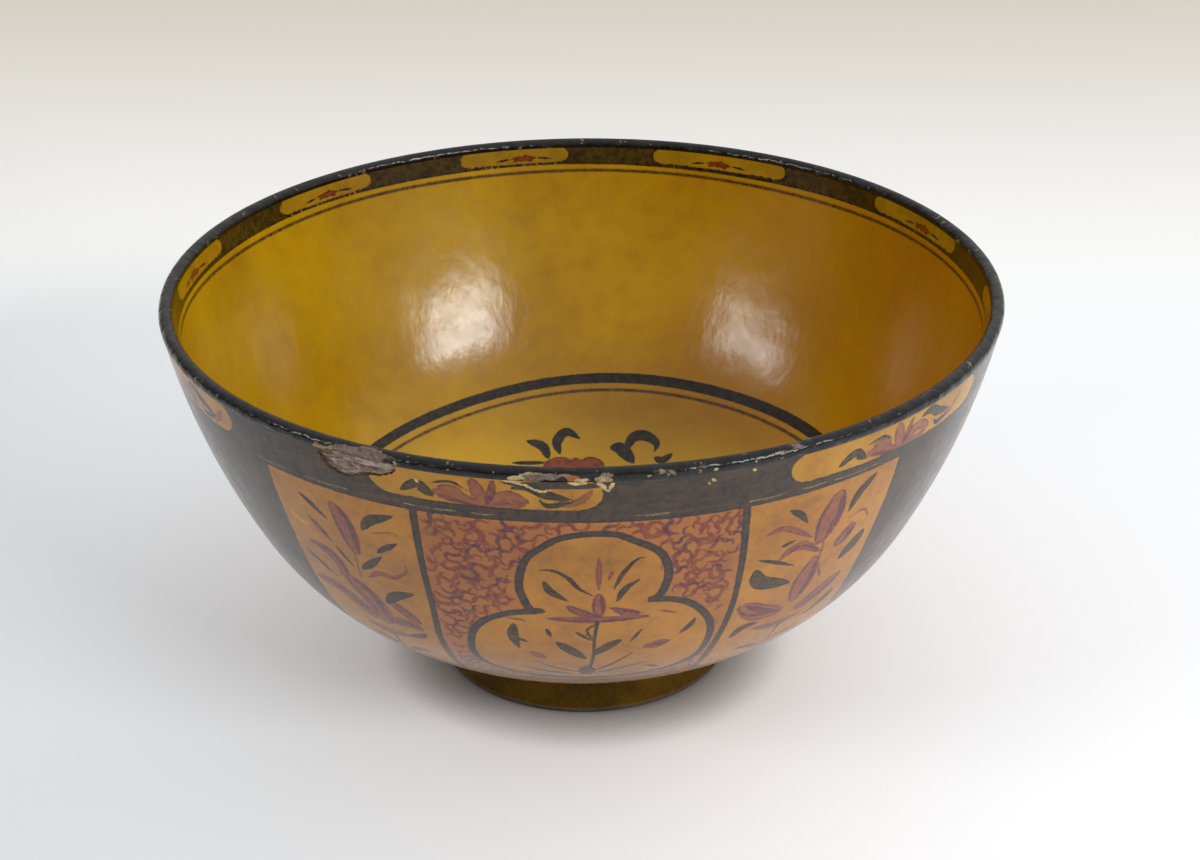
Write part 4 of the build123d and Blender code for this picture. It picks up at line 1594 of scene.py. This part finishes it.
def make_floor():
    """A pale table top, a little warmer and darker towards the back, with painted shade to the front left, a painted
    contact shadow round the bowl and a painted glow seen by the camera and in reflections.
    """
    bm = bmesh.new()
    bmesh.ops.create_grid(bm, x_segments=1, y_segments=1, size=1.0)
    mesh = bpy.data.meshes.new("floor")
    bmesh.ops.scale(bm, vec=(6, 6, 1), verts=bm.verts)
    bmesh.ops.translate(bm, vec=(0, 0, -0.0002), verts=bm.verts)
    bm.to_mesh(mesh)
    bm.free()
    floor = bpy.data.objects.new("floor", mesh)
    bpy.context.collection.objects.link(floor)
    material, board, shader = new_material("table_top")
    where = board.tree.nodes.new("ShaderNodeTexCoord").outputs["Object"]
    apart = board.tree.nodes.new("ShaderNodeSeparateXYZ")
    board.tree.links.new(where, apart.inputs[0])
    back = board.ramp(apart.outputs["Y"], 0.08, 0.75)
    # Painted shade: the table is painted darker towards the front left, away from the light.
    across = board.math("MULTIPLY_ADD", apart.outputs["Y"], 0.6, apart.outputs["X"])
    side = board.ramp(across, -0.3, 0.06)
    near = board.blend(side, colour(210, 214, 217), colour(252, 254, 255))
    tone = board.blend(back, near, colour(222, 214, 196))
    # Painted contact shadow: close round the bowl, where the table is covered, it is painted a dark grey.
    contact_occlusion = board.tree.nodes.new("ShaderNodeAmbientOcclusion")
    contact_occlusion.samples = 12
    contact_occlusion.inputs["Distance"].default_value = 0.02
    clear_of_painted_shadow = board.ramp(contact_occlusion.outputs["AO"], 0.2, 0.86)
    tone = board.blend(clear_of_painted_shadow, colour(140, 135, 132), tone)
    # Painted light: the table glows for the camera and in reflections, more at the front, and not in the painted
    # contact shadow.
    rays = board.tree.nodes.new("ShaderNodeLightPath")
    seen = board.math("MAXIMUM", rays.outputs["Is Camera Ray"], rays.outputs["Is Glossy Ray"])
    painted_floor_light = board.math("MULTIPLY", seen, board.ramp(back, 0.0, 1.0, 0.15, 0.08))
    painted_floor_light = board.math("MULTIPLY", painted_floor_light, clear_of_painted_shadow)
    board.tree.links.new(tone, shader.inputs["Emission Color"])
    board.tree.links.new(painted_floor_light, shader.inputs["Emission Strength"])
    board.tree.links.new(tone, shader.inputs["Base Color"])
    shader.inputs["Roughness"].default_value = 0.7
    shader.inputs["Specular IOR Level"].default_value = 0.2
    floor.data.materials.append(material)
    return floor


def make_lamp(name, bearing, height, distance, width, tall, power, tint=(1, 1, 1)):
    """A soft box that faces the bowl from a bearing and a height in degrees."""
    data = bpy.data.lights.new(name, "AREA")
    data.shape = "RECTANGLE"
    data.size = width
    data.size_y = tall
    data.energy = power
    data.color = tint
    lamp = bpy.data.objects.new(name, data)
    bpy.context.collection.objects.link(lamp)
    angle = math.radians(bearing)
    rise = math.radians(height)
    aim = Vector((0, 0, 0.06))
    way = Vector(
        (math.sin(angle) * math.cos(rise), -math.cos(angle) * math.cos(rise), math.sin(rise))
    )
    lamp.location = aim + way * distance
    lamp.rotation_euler = way.to_track_quat("Z", "Y").to_euler()
    return lamp


make_floor()
make_lamp("window_right_front", 47, 28, 2.0, 0.95, 0.26, 19)
make_lamp("window_left_front", -66, 26, 2.0, 0.9, 0.26, 9.5)

world = bpy.context.scene.world or bpy.data.worlds.new("room")
bpy.context.scene.world = world
world.use_nodes = True
room = world.node_tree.nodes["Background"]
room.inputs["Color"].default_value = colour(250, 250, 252)
room_board = Board(world.node_tree)
facing = room_board.tree.nodes.new("ShaderNodeTexCoord").outputs["Generated"]
apart = room_board.tree.nodes.new("ShaderNodeSeparateXYZ")
room_board.tree.links.new(facing, apart.inputs[0])
rising = room_board.math("MULTIPLY_ADD", apart.outputs["Z"], 0.62, 0.22)
behind = room_board.math("MULTIPLY_ADD", apart.outputs["Y"], 0.14, rising)
level = room_board.math("MULTIPLY_ADD", apart.outputs["X"], 0.22, behind)
level = room_board.math("MAXIMUM", level, 0.0)
room_board.tree.links.new(level, room.inputs["Strength"])

# The camera stands where the photograph was taken from
camera_distance = 600.0
camera_drop = math.radians(27.973)
camera_pitch = math.radians(26.646)
camera_yaw = math.radians(0.459)
camera_roll = math.radians(-0.370)
camera_spot = Vector((0, -529.90, 326.43)) * metre
forward = Vector(
    (
        math.sin(camera_yaw) * math.cos(camera_pitch),
        math.cos(camera_yaw) * math.cos(camera_pitch),
        -math.sin(camera_pitch),
    )
)
right = forward.cross(Vector((0, 0, 1))).normalized()
up = right.cross(forward)
turned_right = right * math.cos(camera_roll) + up * math.sin(camera_roll)
turned_up = up * math.cos(camera_roll) - right * math.sin(camera_roll)
lens = bpy.data.cameras.new("camera")
lens.sensor_width = 36
lens.lens = 2343.7 / 1200 * 36
lens.clip_start = 0.02
lens.clip_end = 20
camera = bpy.data.objects.new("camera", lens)
bpy.context.collection.objects.link(camera)
stance = Matrix((turned_right, turned_up, -forward)).transposed().to_4x4()
camera.matrix_world = Matrix.Translation(camera_spot) @ stance
bpy.context.scene.camera = camera
bpy.context.scene.view_settings.view_transform = "Standard"
